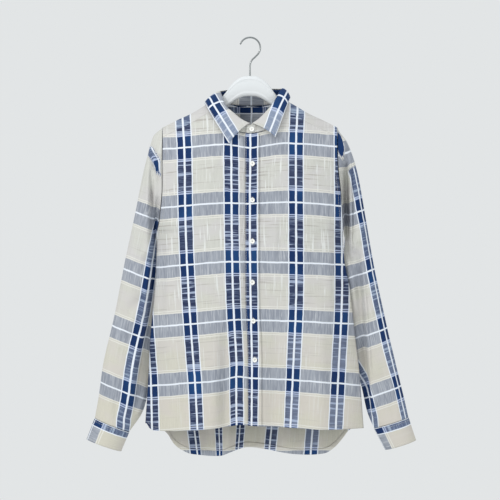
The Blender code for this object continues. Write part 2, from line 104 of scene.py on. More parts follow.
# Hook: a bent wire, round over the rail, then down to the hanger's boss by x and z.
HOOK_WIRE = 3.5
HOOK_RADIUS = 21.2
HOOK_STEPS = 80
HOOK_STEM = (
    (11.4, -38.2), (9.2, -40.2), (7, -42), (5.2, -43.8), (3.6, -45.9), (2.2, -48.2), (1.1, -51),
    (0.4, -54.2), (0, -58), (0, -92),
)

# Side edges of the body: z, x at the wearer's right, x at the wearer's left.
BODY_EDGES = (
    (-184, -179.8, 179.8), (-262, -180.2, 180.4), (-320, -180.4, 186.5), (-372, -186, 190.5),
    (-400, -190.5, 192.2), (-457, -193.8, 195), (-520, -197, 206.5), (-620, -206.5, 218),
    (-700, -210.2, 227), (-811, -217.5, 235.5),
)

# Shoulder line: distance from the middle, z.
SHOULDER_LINE = (
    (0, -100), (45, -113), (74, -129), (95, -140.5), (121, -156), (150, -169.5), (180, -184.5),
)

# Front neck seam: distance from the middle, z.
FRONT_NECK = (
    (0, -200.5), (22, -197.5), (42, -188.5), (56, -175), (64.5, -163), (70, -149),
)

# How far the body stands off the hanger's plane: z, to the front, to the back.
BODY_DEPTH = (
    (-100, 56, 45), (-150, 56, 44), (-204, 56, 38), (-300, 57, 32), (-450, 56, 30), (-620, 54, 29),
    (-811, 50, 27), (-870, 50, 25),
)

# Hanging folds: x at the chest, x at the hem, z where it starts, half width, stand-out.
FRONT_FOLDS = (
    (-26, -40, -470, 24, -17), (-100, -92, -520, 34, 5), (52, 50, -560, 26, -9),
    (150, 146, -480, 34, 6),
)
BACK_FOLDS = (
    (-135, -120, -420, 40, 8), (-40, -62, -520, 26, -9), (20, 5, -460, 36, 13),
    (75, 78, -540, 24, -8), (150, 146, -440, 38, 9),
)

# Hems: x, z.
FRONT_HEM = (
    (-214, -797), (-208, -806), (-198, -810.5), (-119, -807.5), (-43, -800.5), (-18, -797),
    (25, -799.5), (92, -802.5), (151, -806.5), (235, -807),
)
BACK_HEM = (
    (-217, -797), (-190, -806), (-172, -820), (-158, -842), (-142, -855), (-121, -864),
    (-62, -866.5), (-42, -860), (-10, -851), (28, -853.5), (107, -864.5), (156, -862), (176, -849),
    (194, -828), (206, -812), (233, -800),
)

# The yoke as a fan from the neck seam to its outer edge, half of it, from the front:
# neck x, neck run from the shoulder line (front -, back +), outer place across the
# body (0 middle, 1 armhole), outer run from the shoulder line (None at the back seam).
YOKE_FAN = (
    (70, -26, 1, -26), (73, -13, 1, -12), (74, 0, 1, 3), (70.5, 8.5, 1, 24), (63, 15, 1, None),
    (47, 27, 0.64, None), (24, 39, 0.32, None), (0, 43.6, 0, None),
)

# Collar stand, from its under end at the wearer's right round the back to its over
# end: base x, base z, side (-1 front, 1 back), top x, top y, top z.
STAND = (
    (10, -200.2, -1, 9, -49.2, -182.5), (0, -200.5, -1, 0, -49.6, -181.5),
    (-22, -197.5, -1, -16, -47.5, -173), (-42, -188.5, -1, -31, -42.5, -160.5),
    (-56, -175, -1, -44, -34, -148.5), (-66, -160, -1, -52, -23, -136),
    (-72, -144, -1, -57, -11, -120), (-74, -129.2, -1, -60, 3, -112.5),
    (-68, -131.5, 1, -57, 17, -110), (-52, -135, 1, -45, 29, -107), (-27, -137.5, 1, -24, 37, -104),
    (0, -138.5, 1, 0, 40, -103.5), (27, -137.5, 1, 25, 37, -103), (52, -135, 1, 47, 29, -104.5),
    (68, -131.5, 1, 61, 17, -105.5), (74, -129.2, -1, 65, 3, -106), (72, -144, -1, 60, -11, -113),
    (66, -160, -1, 53, -23, -127), (56, -175, -1, 43, -34, -143),
    (42, -188.5, -1, 30, -42.5, -158.5), (22, -197.5, -1, 17, -48, -172),
    (1, -200.5, -1, 2, -51.9, -182), (-8, -200.2, -1, -7, -52.6, -183.5),
)
STAND_UNDER_ROWS = 2
STAND_INSET = 1.8
STAND_RISE = 1.5

# Outer edge of the collar leaf, one row for each stand row between the two ends: x, y, z.
LEAF_EDGE = (
    (-42.3, -60, -222), (-55, -55.5, -201.5), (-66.5, -49, -182.5), (-76, -41, -166),
    (-85, -30, -150.5), (-91, -16, -138.5), (-93, 4, -136), (-85, 25, -141), (-65, 42, -147),
    (-33, 50, -148.5), (0, 52.5, -149), (33, 50, -148), (62, 42, -145), (77, 26, -134),
    (82, 4, -127), (79.5, -16, -133), (75, -30, -144), (70, -41, -158), (64, -49, -174),
    (58, -55.5, -191), (51.3, -60, -209),
)
LEAF_ROLL_RISE = 2.0
LEAF_ROLL_OUT = 1.5
LEAF_BULGE = 4.5
LEAF_END_SHIFT = (1.5, -3.4, 0.0)

# Sleeves, a row for each section: place along it, outer fold x, y, z, inner fold
# x, y, z, half depth.  Signs of x are for each side as it hangs.
RIGHT_SLEEVE = (
    (0, -181.4, 0, -184.5, -191.9, 0, -399.5, 25), (0.03, -188, 0, -187, -196.5, 6, -408, 26),
    (0.08, -198, 0.5, -198, -196.5, 15, -424, 28), (0.16, -207.5, 1, -227, -192.5, 23, -456, 30),
    (0.27, -221.5, 2, -282, -191.5, 28, -500, 31), (0.40, -238, 3, -364, -195, 30, -556, 31),
    (0.54, -258, 4, -457, -200, 30, -622, 31), (0.68, -280, 6, -570, -205.5, 29, -682, 30),
    (0.82, -303.5, 8, -670, -211.5, 26, -727, 29), (0.92, -314, 10, -745, -224, 21, -776, 28),
    (1, -321.7, 12, -786.6, -251, 15, -815.6, 27),
)
LEFT_SLEEVE = (
    (0, 181.4, 0, -184.5, 193.6, 0, -399.5, 25), (0.03, 187.5, 0, -190, 198, 6, -408, 26),
    (0.08, 197, 0.5, -207, 198.5, 15, -424, 28), (0.16, 212, 1, -243, 195.5, 23, -456, 30),
    (0.27, 225, 2, -290, 197, 28, -500, 31), (0.40, 240, 3, -375, 203, 30, -556, 31),
    (0.54, 256, 4, -468, 211, 30, -622, 31), (0.68, 278, 6, -571, 221, 29, -682, 30),
    (0.82, 303.5, 8, -681, 233.5, 26, -727, 29), (0.92, 319.5, 10, -746, 244, 21, -775, 28),
    (1, 328.6, 12, -785, 257.5, 15, -807.6, 27),
)

# Cuffs: outer fold x, z and inner fold x, z, at the sleeve and at the open end.
RIGHT_CUFF = ((-321.9, -787.4, -251.2, -816.4), (-339.0, -831.0, -268.0, -856.0))
LEFT_CUFF = ((328.8, -785.8, 257.6, -808.4), (344.3, -833.0, 281.0, -853.0))
CUFF_MIDDLE_Y = 13.0
CUFF_HALF_DEPTH = 27.0
CUFF_HALF_WIDTH = 36.0

# Hanger body: distance from the middle, top z, bottom z, half thickness.
HANGER = (
    (0, -77.8, -120, 7), (15, -79.2, -121.5, 7), (29, -87, -128, 7), (40.5, -98.5, -136.5, 7.2),
    (50, -112, -143, 7.4), (62, -124.5, -150.5, 7.6), (78, -134.6, -158.5, 7.8),
    (100, -147, -168.5, 8), (121, -159.8, -178, 7.8), (145, -171.2, -189, 7.2),
    (160, -179.4, -195, 6.2), (168, -184.2, -196.5, 4.8), (171.5, -187.4, -194, 3),
)

# The shallow panel let into the hanger's faces: depth, margin and rim as shares of the
# height, and its reach to each side with the length of its ends.
PANEL_INSET = 1.3
PANEL_MARGIN = 0.16
PANEL_RIM = 0.08
PANEL_REACH = 150.0
PANEL_END = 14.0

# Cloth as it is drawn here: one layer, the folded band, and the doubled collar and cuffs.
# The panels run a little way under the yoke, where they are sewn in.
CLOTH = 0.5
BAND_CLOTH = 1.0
DOUBLED_CLOTH = 1.2
SEAM_TUCK = 3.0
TUCK_DEPTH = 0.9
HEM_TURNING = 11.0
PANEL_LENGTH = 610.0

# Sewing thread stands a little proud of the cloth, and each stitch reaches over the next.
THREAD_PROUD = 0.12
STITCH_OVERLAP = 1.15

# Check: repeats, and where each part of a band ends, counted from its white middle line.
REPEAT_ACROSS = 94.0
REPEAT_DOWN = 120.6
BLUE_WHITE_HALF = 1.9
BLUE_BAND_HALF = 14.2
BLUE_EDGE_HALF = 16.2
GREY_WHITE_HALF = 1.6
GREY_BAND_HALF = 23.5

# Bands blur over this width where they end, and yarns wander by this across and down.
EDGE_SOFTNESS = 0.35
WANDER = (1.8, 2.4, 0.0)

# The middle of a navy patch, where a blue band and a grey one cross.  The back stand's
# ends show one beyond this x, above this z.
PATCH_MIDDLE = (8.5, 16.0)
STAND_PATCH_X = 38.0
STAND_PATCH_Z = -114.0

# The blue bands' middle lines on the two fronts: height, then x of each line.
RIGHT_FRONT_BANDS = (
    (-811, -202, -107, -27.6, 66), (-704, -205, -112.5, -28.4, 65),
    (-672, -207.5, -115.5, -27.6, 65), (-541, -217, -124.8, -34.4, 60),
    (-400, -224, -131.5, -37.2, 56), (-228, -228, -134.8, -38.3, 55), (-165, -233, -139.5, -39, 55),
)
LEFT_FRONT_BANDS = (
    (-811, -84, 3.1, 82, 175.4), (-672, -86, 4, 88.4, 182.5), (-541, -92, 1.2, 94.1, 189.3),
    (-400, -94, -0.4, 94.1, 189.5), (-220, -94, 0.6, 94.1, 188.5), (-146, -94, 0.6, 98.2, 190),
)

# The grey bands' middle lines across the fronts: x, then the height of each line.
FRONT_CROSS_BANDS = (
    (-205, -230.9, -352.1, -474.8, -598, -719.1), (-175, -230.1, -351.2, -472.8, -595.1, -715.8),
    (-143, -228.9, -348.4, -469.9, -591.9, -712.2), (-53, -222.5, -342.2, -462.5, -583.3, -704.2),
    (-28, -225.6, -343.1, -462.5, -580.8, -698.2), (0, -229.7, -343.7, -462.7, -581.6, -699.9),
    (18, -227.2, -342.4, -462.9, -582, -700.9), (61, -220.7, -341, -463.8, -583.3, -703.1),
    (94, -220.5, -341, -464.8, -583.7, -704.4), (184, -225.6, -347.6, -468.3, -589.4, -712.6),
    (235, -229, -351, -471, -593, -719.5),
)

# The blue bands of the back: height, then x of each line.  They crowd at the hem's folds.
BACK_BANDS = (
    (-870, -205, -108.4, -62.5, -26, 38.6, 126, 216), (-700, -216, -130, -68, -14, 55, 138, 222),
    (-480, -226, -150, -75, -4, 70, 148, 228), (-232, -236, -158, -79, -2, 77, 156, 236),
)
BACK_CROSS_BANDS = (-276.5, -397.1, -517.7, -638.3, -758.9, -879.5)

# The yoke is cut crosswise: its blue band lies level, its grey band hangs at the middle.
YOKE_BLUE_LINE_Z = -138.0
YOKE_GREY_LINE_X = 3.0

# Sleeves: slope of the grey bands, how far down the sleeve the first one lies, their
# spacing, and how far round from the outer fold, by the front, a blue band lies.
RIGHT_SLEEVE_CHECK = (21.5, 421.5, 118.2, 76.0)
LEFT_SLEEVE_CHECK = (20.5, 414.7, 122.9, 18.0)

# Pleats above the left cuff draw the blue bands together: share, height, run.
LEFT_SLEEVE_TAPER = 0.3
TAPER_FROM_Z = -640.0
TAPER_OVER = 90.0

# The sleeve heads, in repeats above the first grey band: the right one is nearly plain,
# as it shows only a share of the check.  Down to that band it is also plain beyond
# PLAIN_FROM round from its outer fold, because it is turned inwards.
HEAD_FROM = -0.5
HEAD_SHARE = 0.17
PLAIN_FROM = 30.0
PLAIN_SHARE = 0.35
LEFT_HEAD_FROM = -0.745

# Tucks gathered by the shoulders: x and z of the two ends, half width, how much it
# narrows and how blunt it is, its sway, then what it shows of the check: the middle and
# half the cloth taken up across, and from where to where down.
RIGHT_SHOULDER_TUCK = (207, -224, 183.5, -285, 12.5, 0.6, 0.35, 2, 6, -10, -44, -4)
LEFT_SHOULDER_TUCK = (180, -194, 190.5, -248, 7.5, 0, 0.5, 0, 8.5, 5.5, 16, 8)

SLEEVE_HALF_DEPTH = 30.0
ARC_STEPS = 6
SLEEVE_HALF_WIDTHS = (
    (-815, 38), (-776, 46), (-682, 49), (-622, 45), (-556, 41), (-500, 37), (-456, 33), (-400, 30),
    (-360, 35), (-300, 38), (-250, 33), (-184, 20),
)

# Cuffs: how far round from the outer fold a grey band lies, by the front, and how far the
# blue band's white middle line lies inside the seam with the sleeve.
RIGHT_CUFF_BAND = 11.5
LEFT_CUFF_BAND = 94.0
CUFF_WHITE_LINE_IN = 0.9

# Collar leaf: where along its outer edge the two grey lines cross it, from the centre
# back, and how far in from the edge the blue band's middle runs.
COLLAR_GREY_LINES = (-156.0, 146.0)
COLLAR_BAND_INSET = 17.0

# Creases: x and z of one end, x and z of the other, half width, height (- for a trough).
FRONT_CREASES = (
    (-166, -290, -170, -560, 9, 4.6), (-178, -360, -182, -620, 6, -4.2),
    (-150, -380, -152, -600, 7, -3.2), (158, -300, 166, -590, 10, 4.2),
    (176, -380, 186, -640, 7, -4), (62, -385, 63, -470, 5, -2.6), (-13, -300, -15, -800, 9, -1.6),
    (-29, -520, -26, -672, 8, 2.6), (-27, -655, -33, -815, 9, 3.4), (-47, -540, -52, -815, 10, -6),
    (-33, -560, -40, -815, 5.5, -3.4), (-72, -600, -70, -815, 13, 2.4),
    (-128, -610, -118, -815, 16, -3.2), (-160, -520, -154, -815, 17, 4.2),
    (-186, -600, -188, -800, 9, -2.8), (27, -560, 30, -812, 9, 2.2),
    (61, -365, 63, -470, 4.5, -1.9), (56, -540, 60, -815, 12, -3.4), (88, -600, 92, -815, 14, 3),
    (118, -640, 124, -815, 12, -2.8), (146, -520, 150, -815, 17, 4.4),
    (184, -560, 190, -815, 11, -3.4), (212, -640, 218, -800, 8, 2), (-172, -330, -105, -262, 9, 2),
    (-176, -380, -96, -330, 11, -2.2), (-178, -412, -118, -420, 8, 1.6),
    (-168, -215, -120, -285, 8, -1.6), (-60, -215, -88, -330, 9, 1.7),
    (-40, -240, -56, -390, 7, -1.4), (175, -350, 112, -280, 9, 2.1),
    (178, -396, 100, -352, 10, -2.2), (180, -425, 124, -432, 8, 1.7),
    (170, -222, 126, -300, 8, -1.7), (60, -212, 84, -322, 9, 1.6), (38, -236, 46, -360, 7, -1.3),
    (-150, -470, -60, -492, 9, -1.1), (70, -500, 170, -478, 10, -1.2),
    (-110, -420, -104, -590, 12, 1.5), (120, -450, 112, -600, 12, 1.4),
)
BACK_CREASES = (
    (-10, -236, -22, -520, 9, 3), (14, -236, 8, -500, 8, -2.6), (-34, -240, -52, -600, 9, -2.4),
    (-45, -600, -45, -875, 8, -7), (-20, -560, -8, -870, 11, 4.5), (6, -640, 16, -870, 9, 4),
    (38, -300, 52, -640, 12, 2.6), (62, -520, 68, -875, 10, -5), (96, -560, 104, -870, 13, 4),
    (128, -620, 134, -865, 10, -3.8), (160, -420, 166, -850, 14, 4.2),
    (190, -560, 196, -820, 9, -3.2), (-84, -560, -86, -870, 9, -3.6),
    (-112, -480, -106, -868, 14, 4.6), (-146, -560, -140, -860, 10, -3.4),
    (-176, -420, -172, -830, 13, 3.8), (-176, -330, -92, -268, 11, 2.4),
    (-178, -392, -84, -350, 12, -2.6), (-180, -424, -110, -452, 9, 1.9),
    (176, -338, 96, -262, 11, 2.3), (180, -398, 92, -362, 12, -2.7), (182, -430, 116, -462, 9, 1.9),
    (-120, -300, -40, -318, 10, -1.4), (30, -420, 120, -436, 11, 1.5),
)

# Sleeve creases on the front and on the back: x is counted outwards from the middle.
RIGHT_SLEEVE_FRONT_CREASES = (
    (214, -216, 186, -282, 4.5, 7.5), (214, -232, 184, -300, 4.5, -6.5),
    (206, -208, 184, -262, 4, -5), (219, -262, 194, -330, 6, 3.2), (204, -258, 203, -450, 5, -15),
    (212, -258, 214, -455, 6, 5), (197, -290, 197, -390, 4, 4), (192.5, -330, 196.5, -436, 6, -22),
    (194, -400, 203, -545, 7.5, -20), (201, -500, 214, -645, 8.5, -21),
    (212, -600, 236, -780, 11, -23), (204, -430, 229, -640, 5, 5), (226, -605, 259, -780, 5.5, 6),
    (190, -410, 245, -492, 10, 3.2), (192, -450, 252, -470, 8, -2.8), (196, -520, 262, -566, 9, -3),
    (200, -545, 270, -610, 11, 3.4), (206, -600, 262, -622, 8, -2.2),
    (232, -600, 256, -770, 10, 3.4), (290, -640, 300, -780, 9, 2.4),
    (270, -700, 280, -805, 8, -3.2), (254, -740, 262, -812, 6, 2.4),
    (302, -730, 306, -795, 6, -2.2),
)
RIGHT_SLEEVE_BACK_CREASES = (
    (214, -240, 192, -300, 8, 3), (222, -300, 205, -420, 9, -2.8), (194, -440, 250, -500, 10, 3.2),
    (200, -520, 272, -580, 10, -3.4), (214, -560, 276, -640, 12, 3.4),
    (240, -620, 262, -780, 11, -3.6), (280, -640, 296, -790, 10, 3.2),
    (262, -720, 274, -810, 7, 2.6), (298, -720, 306, -800, 7, -2.8),
)
LEFT_SLEEVE_FRONT_CREASES = (
    (200, -214, 190, -258, 6, 3.2), (206, -236, 192, -300, 6, -3.6),
    (201, -232, 205, -480, 10, -38), (206, -236, 210, -460, 3.2, 24), (188, -262, 212, -254, 3, -6),
    (190, -252, 210, -244, 3.5, 4.5), (222, -425, 240, -690, 13, -24),
    (230, -435, 248, -690, 4.5, 14), (236, -620, 249, -808, 9.5, -25),
    (244, -620, 254.5, -808, 4.5, 13), (224, -250, 232, -380, 8, -1.6),
    (192, -408, 246, -470, 10, 3.4), (196, -440, 250, -452, 8, -2.6), (200, -500, 262, -548, 9, -3),
    (208, -530, 268, -590, 11, 3.2),
    (262, -640, 276, -790, 10, -3.2), (292, -620, 306, -780, 10, 2.6),
    (258, -740, 268, -806, 6, 2.4), (290, -735, 300, -800, 7, -2.4),
)
LEFT_SLEEVE_BACK_CREASES = (
    (214, -250, 194, -310, 8, 3.2), (224, -310, 206, -420, 9, -2.6),
    (196, -444, 250, -486, 10, 3.2), (202, -514, 270, -560, 10, -3.2),
    (216, -556, 280, -648, 12, 3.2), (244, -630, 262, -786, 11, -3.4),
    (284, -650, 300, -790, 10, 3), (268, -720, 282, -806, 7, -2.6),
)

# Unevenness of the hanging cloth: size across, height; front and back are read apart.
CLOTH_WAVES = ((95.0, 1.5), (34.0, 0.55), (13.0, 0.16))
WAVE_APART = 60.0

# Creases begin this far below the shoulder line and are in full after this run.
HANG_FROM = 12.0
HANG_OVER = 60.0

# Studio, in metres: name, place, size, watts and colour of each soft light.
STUDIO_LIGHTS = (
    ("soft_key", (-2.1, -2.4, 0.9), 0.7, 39.0, "FFFDF9"),
    ("soft_fill", (2.4, -2.4, 0.1), 1.4, 15.0, "FFFCF8"),
    ("soft_low", (-0.5, -3.0, -1.5), 1.2, 5.0, "FFF8EE"),
    ("soft_top", (-0.3, -0.8, 1.4), 1.2, 5.0, "F6FAFF"),
)
LIGHTS_AIM = (0.0, 0.0, -0.45)

# The camera is level with the chest; the frame's width is that at the shirt's front.
FLOOR_Z = -1.35
CAMERA_PLACE = (0.0, -4.0, -0.4384)
FRONT_AWAY = 3.96
FRAME_WIDTH = 1.025


def read_table(rows, at, column):
    """Value of a column where the first column is `at`, on a smooth curve through the rows."""
    if at <= rows[0][0]:
        return rows[0][column]
    if at >= rows[-1][0]:
        return rows[-1][column]
    index = 0
    while rows[index + 1][0] < at:
        index += 1
    start, end = rows[index], rows[index + 1]
    before = rows[index - 1] if index > 0 else start
    after = rows[index + 2] if index + 2 < len(rows) else end
    span = end[0] - start[0]
    part = (at - start[0]) / span
    slope_start = (end[column] - before[column]) / (end[0] - before[0]) * span
    slope_end = (after[column] - start[column]) / (after[0] - start[0]) * span
    square, cube = part * part, part * part * part
    return (
        start[column] * (2 * cube - 3 * square + 1)
        + slope_start * (cube - 2 * square + part)
        + end[column] * (3 * square - 2 * cube)
        + slope_end * (cube - square)
    )


def read_point(rows, at, first=1):
    """A point from three columns of a table."""
    return Vector([read_table(rows, at, column) for column in range(first, first + 3)])


def falling(rows):
    """The rows of a table that runs down in z, turned so that its first column rises."""
    return tuple(sorted(rows, key=lambda row: row[0]))


def by_steps(rows):
    """A table whose first column is the row's place from 0 to 1."""
    last = len(rows) - 1
    return tuple((index / last,) + tuple(row) for index, row in enumerate(rows))


def mix(start, end, part):
    return start + (end - start) * part


def ease(part):
    """0 to 1 with a soft start and end."""
    part = min(max(part, 0.0), 1.0)
    return part * part * (3 - 2 * part)


EDGES = falling(BODY_EDGES)
DEPTHS = falling(BODY_DEPTH)
STAND_STEPS = by_steps(STAND)
LEAF_STEPS = by_steps(LEAF_EDGE)
LAST_STAND_ROW = len(STAND) - 1


def shoulder_z(x):
    return read_table(SHOULDER_LINE, abs(x), 1)


def edges_at(z):
    """x of the body's side edges at a height."""
    return read_table(EDGES, z, 1), read_table(EDGES, z, 2)


def run_to_drop(run):
    """Height lost after a run of cloth from the shoulder line."""
    quarter = BEND_RADIUS * math.pi / 2
    if run < quarter:
        return BEND_RADIUS * (1 - math.cos(run / BEND_RADIUS))
    return BEND_RADIUS + run - quarter


def armhole_depth(z):
    """Half depth of the armhole's loop, closing to the side seam under the arm."""
    part = (ARMHOLE_TOP_Z - z) / ARMHOLE_HEIGHT
    if part >= 1.0:
        return SIDE_SEAM_OFFSET
    loop = 2 * ARMHOLE_DEPTH * math.sqrt(max(part, 0.0) * (1 - part))
    return math.hypot(loop, SIDE_SEAM_OFFSET) if part > 0.5 else loop


def fold_depth(folds, x, z):
    total = 0.0
    for chest_x, hem_x, start_z, half_width, stand_out in folds:
        part = ease((start_z - z) / (start_z - HEM_Z))
        middle = mix(chest_x, hem_x, part)
        total += stand_out * part * math.exp(-(((x - middle) / half_width) ** 2))
    return total


def body_depth(side, x, z):
    """Distance of the body's cloth from the hanger's plane; side is -1 front, 1 back."""
    left, right = edges_at(z)
    across = (2 * x - left - right) / (right - left)
    to_edge = min(abs(across), 1.0) ** 4
    drop = max(shoulder_z(x) - z, 0.0)
    round_over = read_table(HANGER, abs(x), 3) + HANGER_CLEARANCE
    bend = math.sqrt(1 - (1 - min(drop / round_over, 1.0)) ** 2)
    full = read_table(DEPTHS, z, 1 if side < 0 else 2)
    full += fold_depth(FRONT_FOLDS if side < 0 else BACK_FOLDS, x, z)
    spread = FRONT_SPREAD if side < 0 else BACK_SPREAD
    inner = round_over * bend + (full - round_over) * (1 - math.exp(-drop / spread))
    return mix(inner, armhole_depth(z), to_edge)


def body_point(side, x, z, out=0.0):
    """A point of the body's cloth; `out` lifts it off the cloth, away from the hanger."""
    return Vector((x, side * (body_depth(side, x, z) + hang(side, x, z) + out), z))


def shoulder_point(x, run):
    """A point at a run of cloth from the shoulder line, to the front (-) or the back (+)."""
    side = -1 if run < 0 else 1
    return body_point(side, x, shoulder_z(x) - run_to_drop(abs(run)))


def closing_x(z):
    """Middle of the front band: it leans a little to the wearer's left towards the hem."""
    top_x, lean, lean_from, over = CLOSING
    return top_x + lean * ease((lean_from - z) / over)


def front_top_z(x):
    if abs(x) < NECK_CORNER_X:
        return read_table(FRONT_NECK, abs(x), 1)
    return shoulder_z(x) - run_to_drop(YOKE_FRONT) + SEAM_TUCK


def front_panel_point(wearers_side, across, down):
    """Right front (-1) or left front (1): across from its side seam to the closing."""
    if wearers_side < 0:
        column, inner_shift = 1, FRONT_UNDERLAP
    else:
        column, inner_shift = 2, -FRONT_BAND_WIDTH / 2
    top_x = mix(read_table(EDGES, NECK_Z, column), closing_x(NECK_Z) + inner_shift, across)
    hem_x = mix(read_table(EDGES, HEM_Z, column), closing_x(HEM_Z) + inner_shift, across)
    z = mix(front_top_z(top_x), read_table(FRONT_HEM, hem_x, 1), down)
    x = mix(read_table(EDGES, z, column), closing_x(z) + inner_shift, across)
    under = 0.0
    if wearers_side < 0:
        under = -LAYER * ease((x - closing_x(z) + UNDERLAP_FROM) / UNDERLAP_OVER)
    seam_z = shoulder_z(x) - run_to_drop(YOKE_FRONT)
    if abs(x) > NECK_CORNER_X:
        under -= TUCK_DEPTH * ease((z - seam_z + 1.0) / 2.0)
    return body_point(-1, x, z, under)


right_front_point = partial(front_panel_point, -1)
left_front_point = partial(front_panel_point, 1)


def front_band_point(across, down):
    x_shift = mix(-FRONT_BAND_WIDTH / 2, FRONT_BAND_WIDTH / 2, across)
    z = mix(FRONT_BAND_TOP_Z, read_table(FRONT_HEM, closing_x(HEM_Z) + x_shift, 1), down)
    return body_point(-1, closing_x(z) + x_shift, z, LAYER)


def back_point(across, down):
    hem_x = mix(*edges_at(HEM_Z), across)
    z = mix(YOKE_BACK_Z + SEAM_TUCK, read_table(BACK_HEM, hem_x, 1), down)
    under = TUCK_DEPTH * ease((z - YOKE_BACK_Z + 1.0) / 2.0)
    return body_point(1, mix(*edges_at(z), across), z, -under)


# The yoke's fan all round the neck, from the wearer's right front to the left front.
YOKE_ROWS = [(-x, run, -place, outer) for x, run, place, outer in YOKE_FAN]
YOKE_ROWS += reversed(YOKE_FAN[:-1])


def yoke_row_ends(row):
    """Neck x and run, and outer x and run, of a row of the yoke's fan."""
    neck_x, neck_run, place, outer_run = row
    outer_x = place * read_table(EDGES, ARMHOLE_TOP_Z, 2)
    if outer_run is None:
        drop = shoulder_z(outer_x) - YOKE_BACK_Z
        outer_run = drop - BEND_RADIUS + BEND_RADIUS * math.pi / 2
    return neck_x, neck_run, outer_x, outer_run


def yoke_point(around, outward):
    at = around * (len(YOKE_ROWS) - 1)
    index = min(int(at), len(YOKE_ROWS) - 2)
    first, second = yoke_row_ends(YOKE_ROWS[index]), yoke_row_ends(YOKE_ROWS[index + 1])
    neck_x, neck_run, outer_x, outer_run = (mix(a, b, at - index) for a, b in zip(first, second))
    return shoulder_point(mix(neck_x, outer_x, outward), mix(neck_run, outer_run, outward))


def stand_base(step):
    """A point just above the neck seam."""
    x = read_table(STAND_STEPS, step, 1)
    x -= math.copysign(min(STAND_INSET, abs(x) / 20), x)
    z = read_table(STAND_STEPS, step, 2)
    at = step * LAST_STAND_ROW
    side = STAND[min(int(at + 0.5), LAST_STAND_ROW)][2]
    under = -LAYER * (1 - ease(at - 1.0))
    over = SEAM_GAP * ease(at - LAST_STAND_ROW + 2.0)
    return body_point(side, x, z, under + over) + Vector((0.0, 0.0, STAND_RISE))


def stand_top(step):
    return read_point(STAND_STEPS, step, 4)


def stand_point(around, up):
    return stand_base(around).lerp(stand_top(around), up)


def leaf_point(around, outward):
    first = (STAND_UNDER_ROWS - 1) / LAST_STAND_ROW
    last = 1 - 1 / LAST_STAND_ROW
    roll = stand_top(mix(first, last, around)) + Vector((0.0, 0.0, LEAF_ROLL_RISE))
    at = around * (len(LEAF_EDGE) - 1)
    if at < 1:
        roll += Vector(LEAF_END_SHIFT) * (1 - at)
    edge = read_point(LEAF_STEPS, around)
    outwards = Vector((edge.x, edge.y, 0.0)).normalized()
    roll += outwards * LEAF_ROLL_OUT
    swell = LEAF_BULGE * math.sin(math.pi * outward) ** 0.5 if 0 < outward < 1 else 0.0
    return roll.lerp(edge, outward) + (outwards + Vector((0.0, 0.0, 0.8))) * swell


def ring_point(out, inner, half_depth, around):
    """A point of a ring from an outer fold, by the front, to an inner fold and back."""
    angle = 2 * math.pi * around
    point = (out + inner) / 2 + (out - inner) / 2 * math.cos(angle)
    point.y -= half_depth * math.sin(angle)
    return point


def sleeve_point(rows, around, along):
    """A ring of the sleeve; around 0 is its outer fold, and it turns by the front."""
    out, inner = read_point(rows, along), read_point(rows, along, 4)
    point = ring_point(out, inner, read_table(rows, along, 7), around)
    seam = 1 - ease(along / 0.10)
    if seam > 0:
        column = 1 if rows[0][1] < 0 else 2
        chord = mix(inner.x, out.x, (math.cos(2 * math.pi * around) + 1) / 2)
        off_seam = math.copysign(WALL / 2 + 3 * SEAM_GAP, rows[0][1])
        point.x += (read_table(EDGES, point.z, column) + off_seam - chord) * seam
    return point


def cuff_point(rows, around, along):
    (out_x, out_z, in_x, in_z), (end_out_x, end_out_z, end_in_x, end_in_z) = rows
    out = Vector((mix(out_x, end_out_x, along), CUFF_MIDDLE_Y, mix(out_z, end_out_z, along)))
    inner = Vector((mix(in_x, end_in_x, along), CUFF_MIDDLE_Y, mix(in_z, end_in_z, along)))
    return ring_point(out, inner, CUFF_HALF_DEPTH, around)


def bulge(share, power):
    """A share of a circle's reach, fuller than a circle where the power is below 1."""
    return math.copysign(abs(share) ** power, share)


def hanger_point(around, along):
    """The hanger's form with a shallow panel let into both faces and a rounded rim."""
    x = mix(-HANGER[-1][0], HANGER[-1][0], along)
    top, bottom, half = read_point(HANGER, abs(x))
    angle = 2 * math.pi * around
    middle, half_height = (top + bottom) / 2, (top - bottom) / 2
    point = Vector((x, half * bulge(math.sin(angle), 0.8), 0.0))
    point.z = middle + half_height * bulge(math.cos(angle), 0.9)
    place = (point.z - bottom) / (top - bottom)
    panel = ease((place - PANEL_MARGIN) / PANEL_RIM) * ease((1 - PANEL_MARGIN - place) / PANEL_RIM)
    panel *= ease((PANEL_REACH - abs(x)) / PANEL_END)
    if abs(point.y) > 2.0:
        point.y -= math.copysign(PANEL_INSET * panel, point.y)
    return point


def beside(line, x, z):
    """How far along a table's line a place lies and how far aside, and the line's length."""
    start_x, start_z, end_x, end_z = line[:4]
    run_x, run_z = end_x - start_x, end_z - start_z
    length = math.hypot(run_x, run_z)
    along = ((x - start_x) * run_x + (z - start_z) * run_z) / length
    aside = ((x - start_x) * run_z - (z - start_z) * run_x) / length
    return along, aside, length


def crease_lift(creases, x, z):
    """Height of the creases at a place: each is a soft ridge or trough between two points."""
    total = 0.0
    for crease in creases:
        half_width, height = crease[4:]
        along, aside, length = beside(crease, x, z)
        if not 0 < along < length or abs(aside) > 3 * half_width:
            continue
        # One flank is steeper than the other, as in hanging cloth.
        spread = half_width * (1.25 if aside > 0 else 0.75)
        taper = math.sin(math.pi * along / length) ** 0.7
        total += height * taper * math.exp(-((aside / spread) ** 2))
    return total


def cloth_wave(x, y, z):
    """Small unevenness that all hanging cloth has."""
    spot = Vector((x, y, z))
    return sum(height * noise.noise(spot / size) for size, height in CLOTH_WAVES)


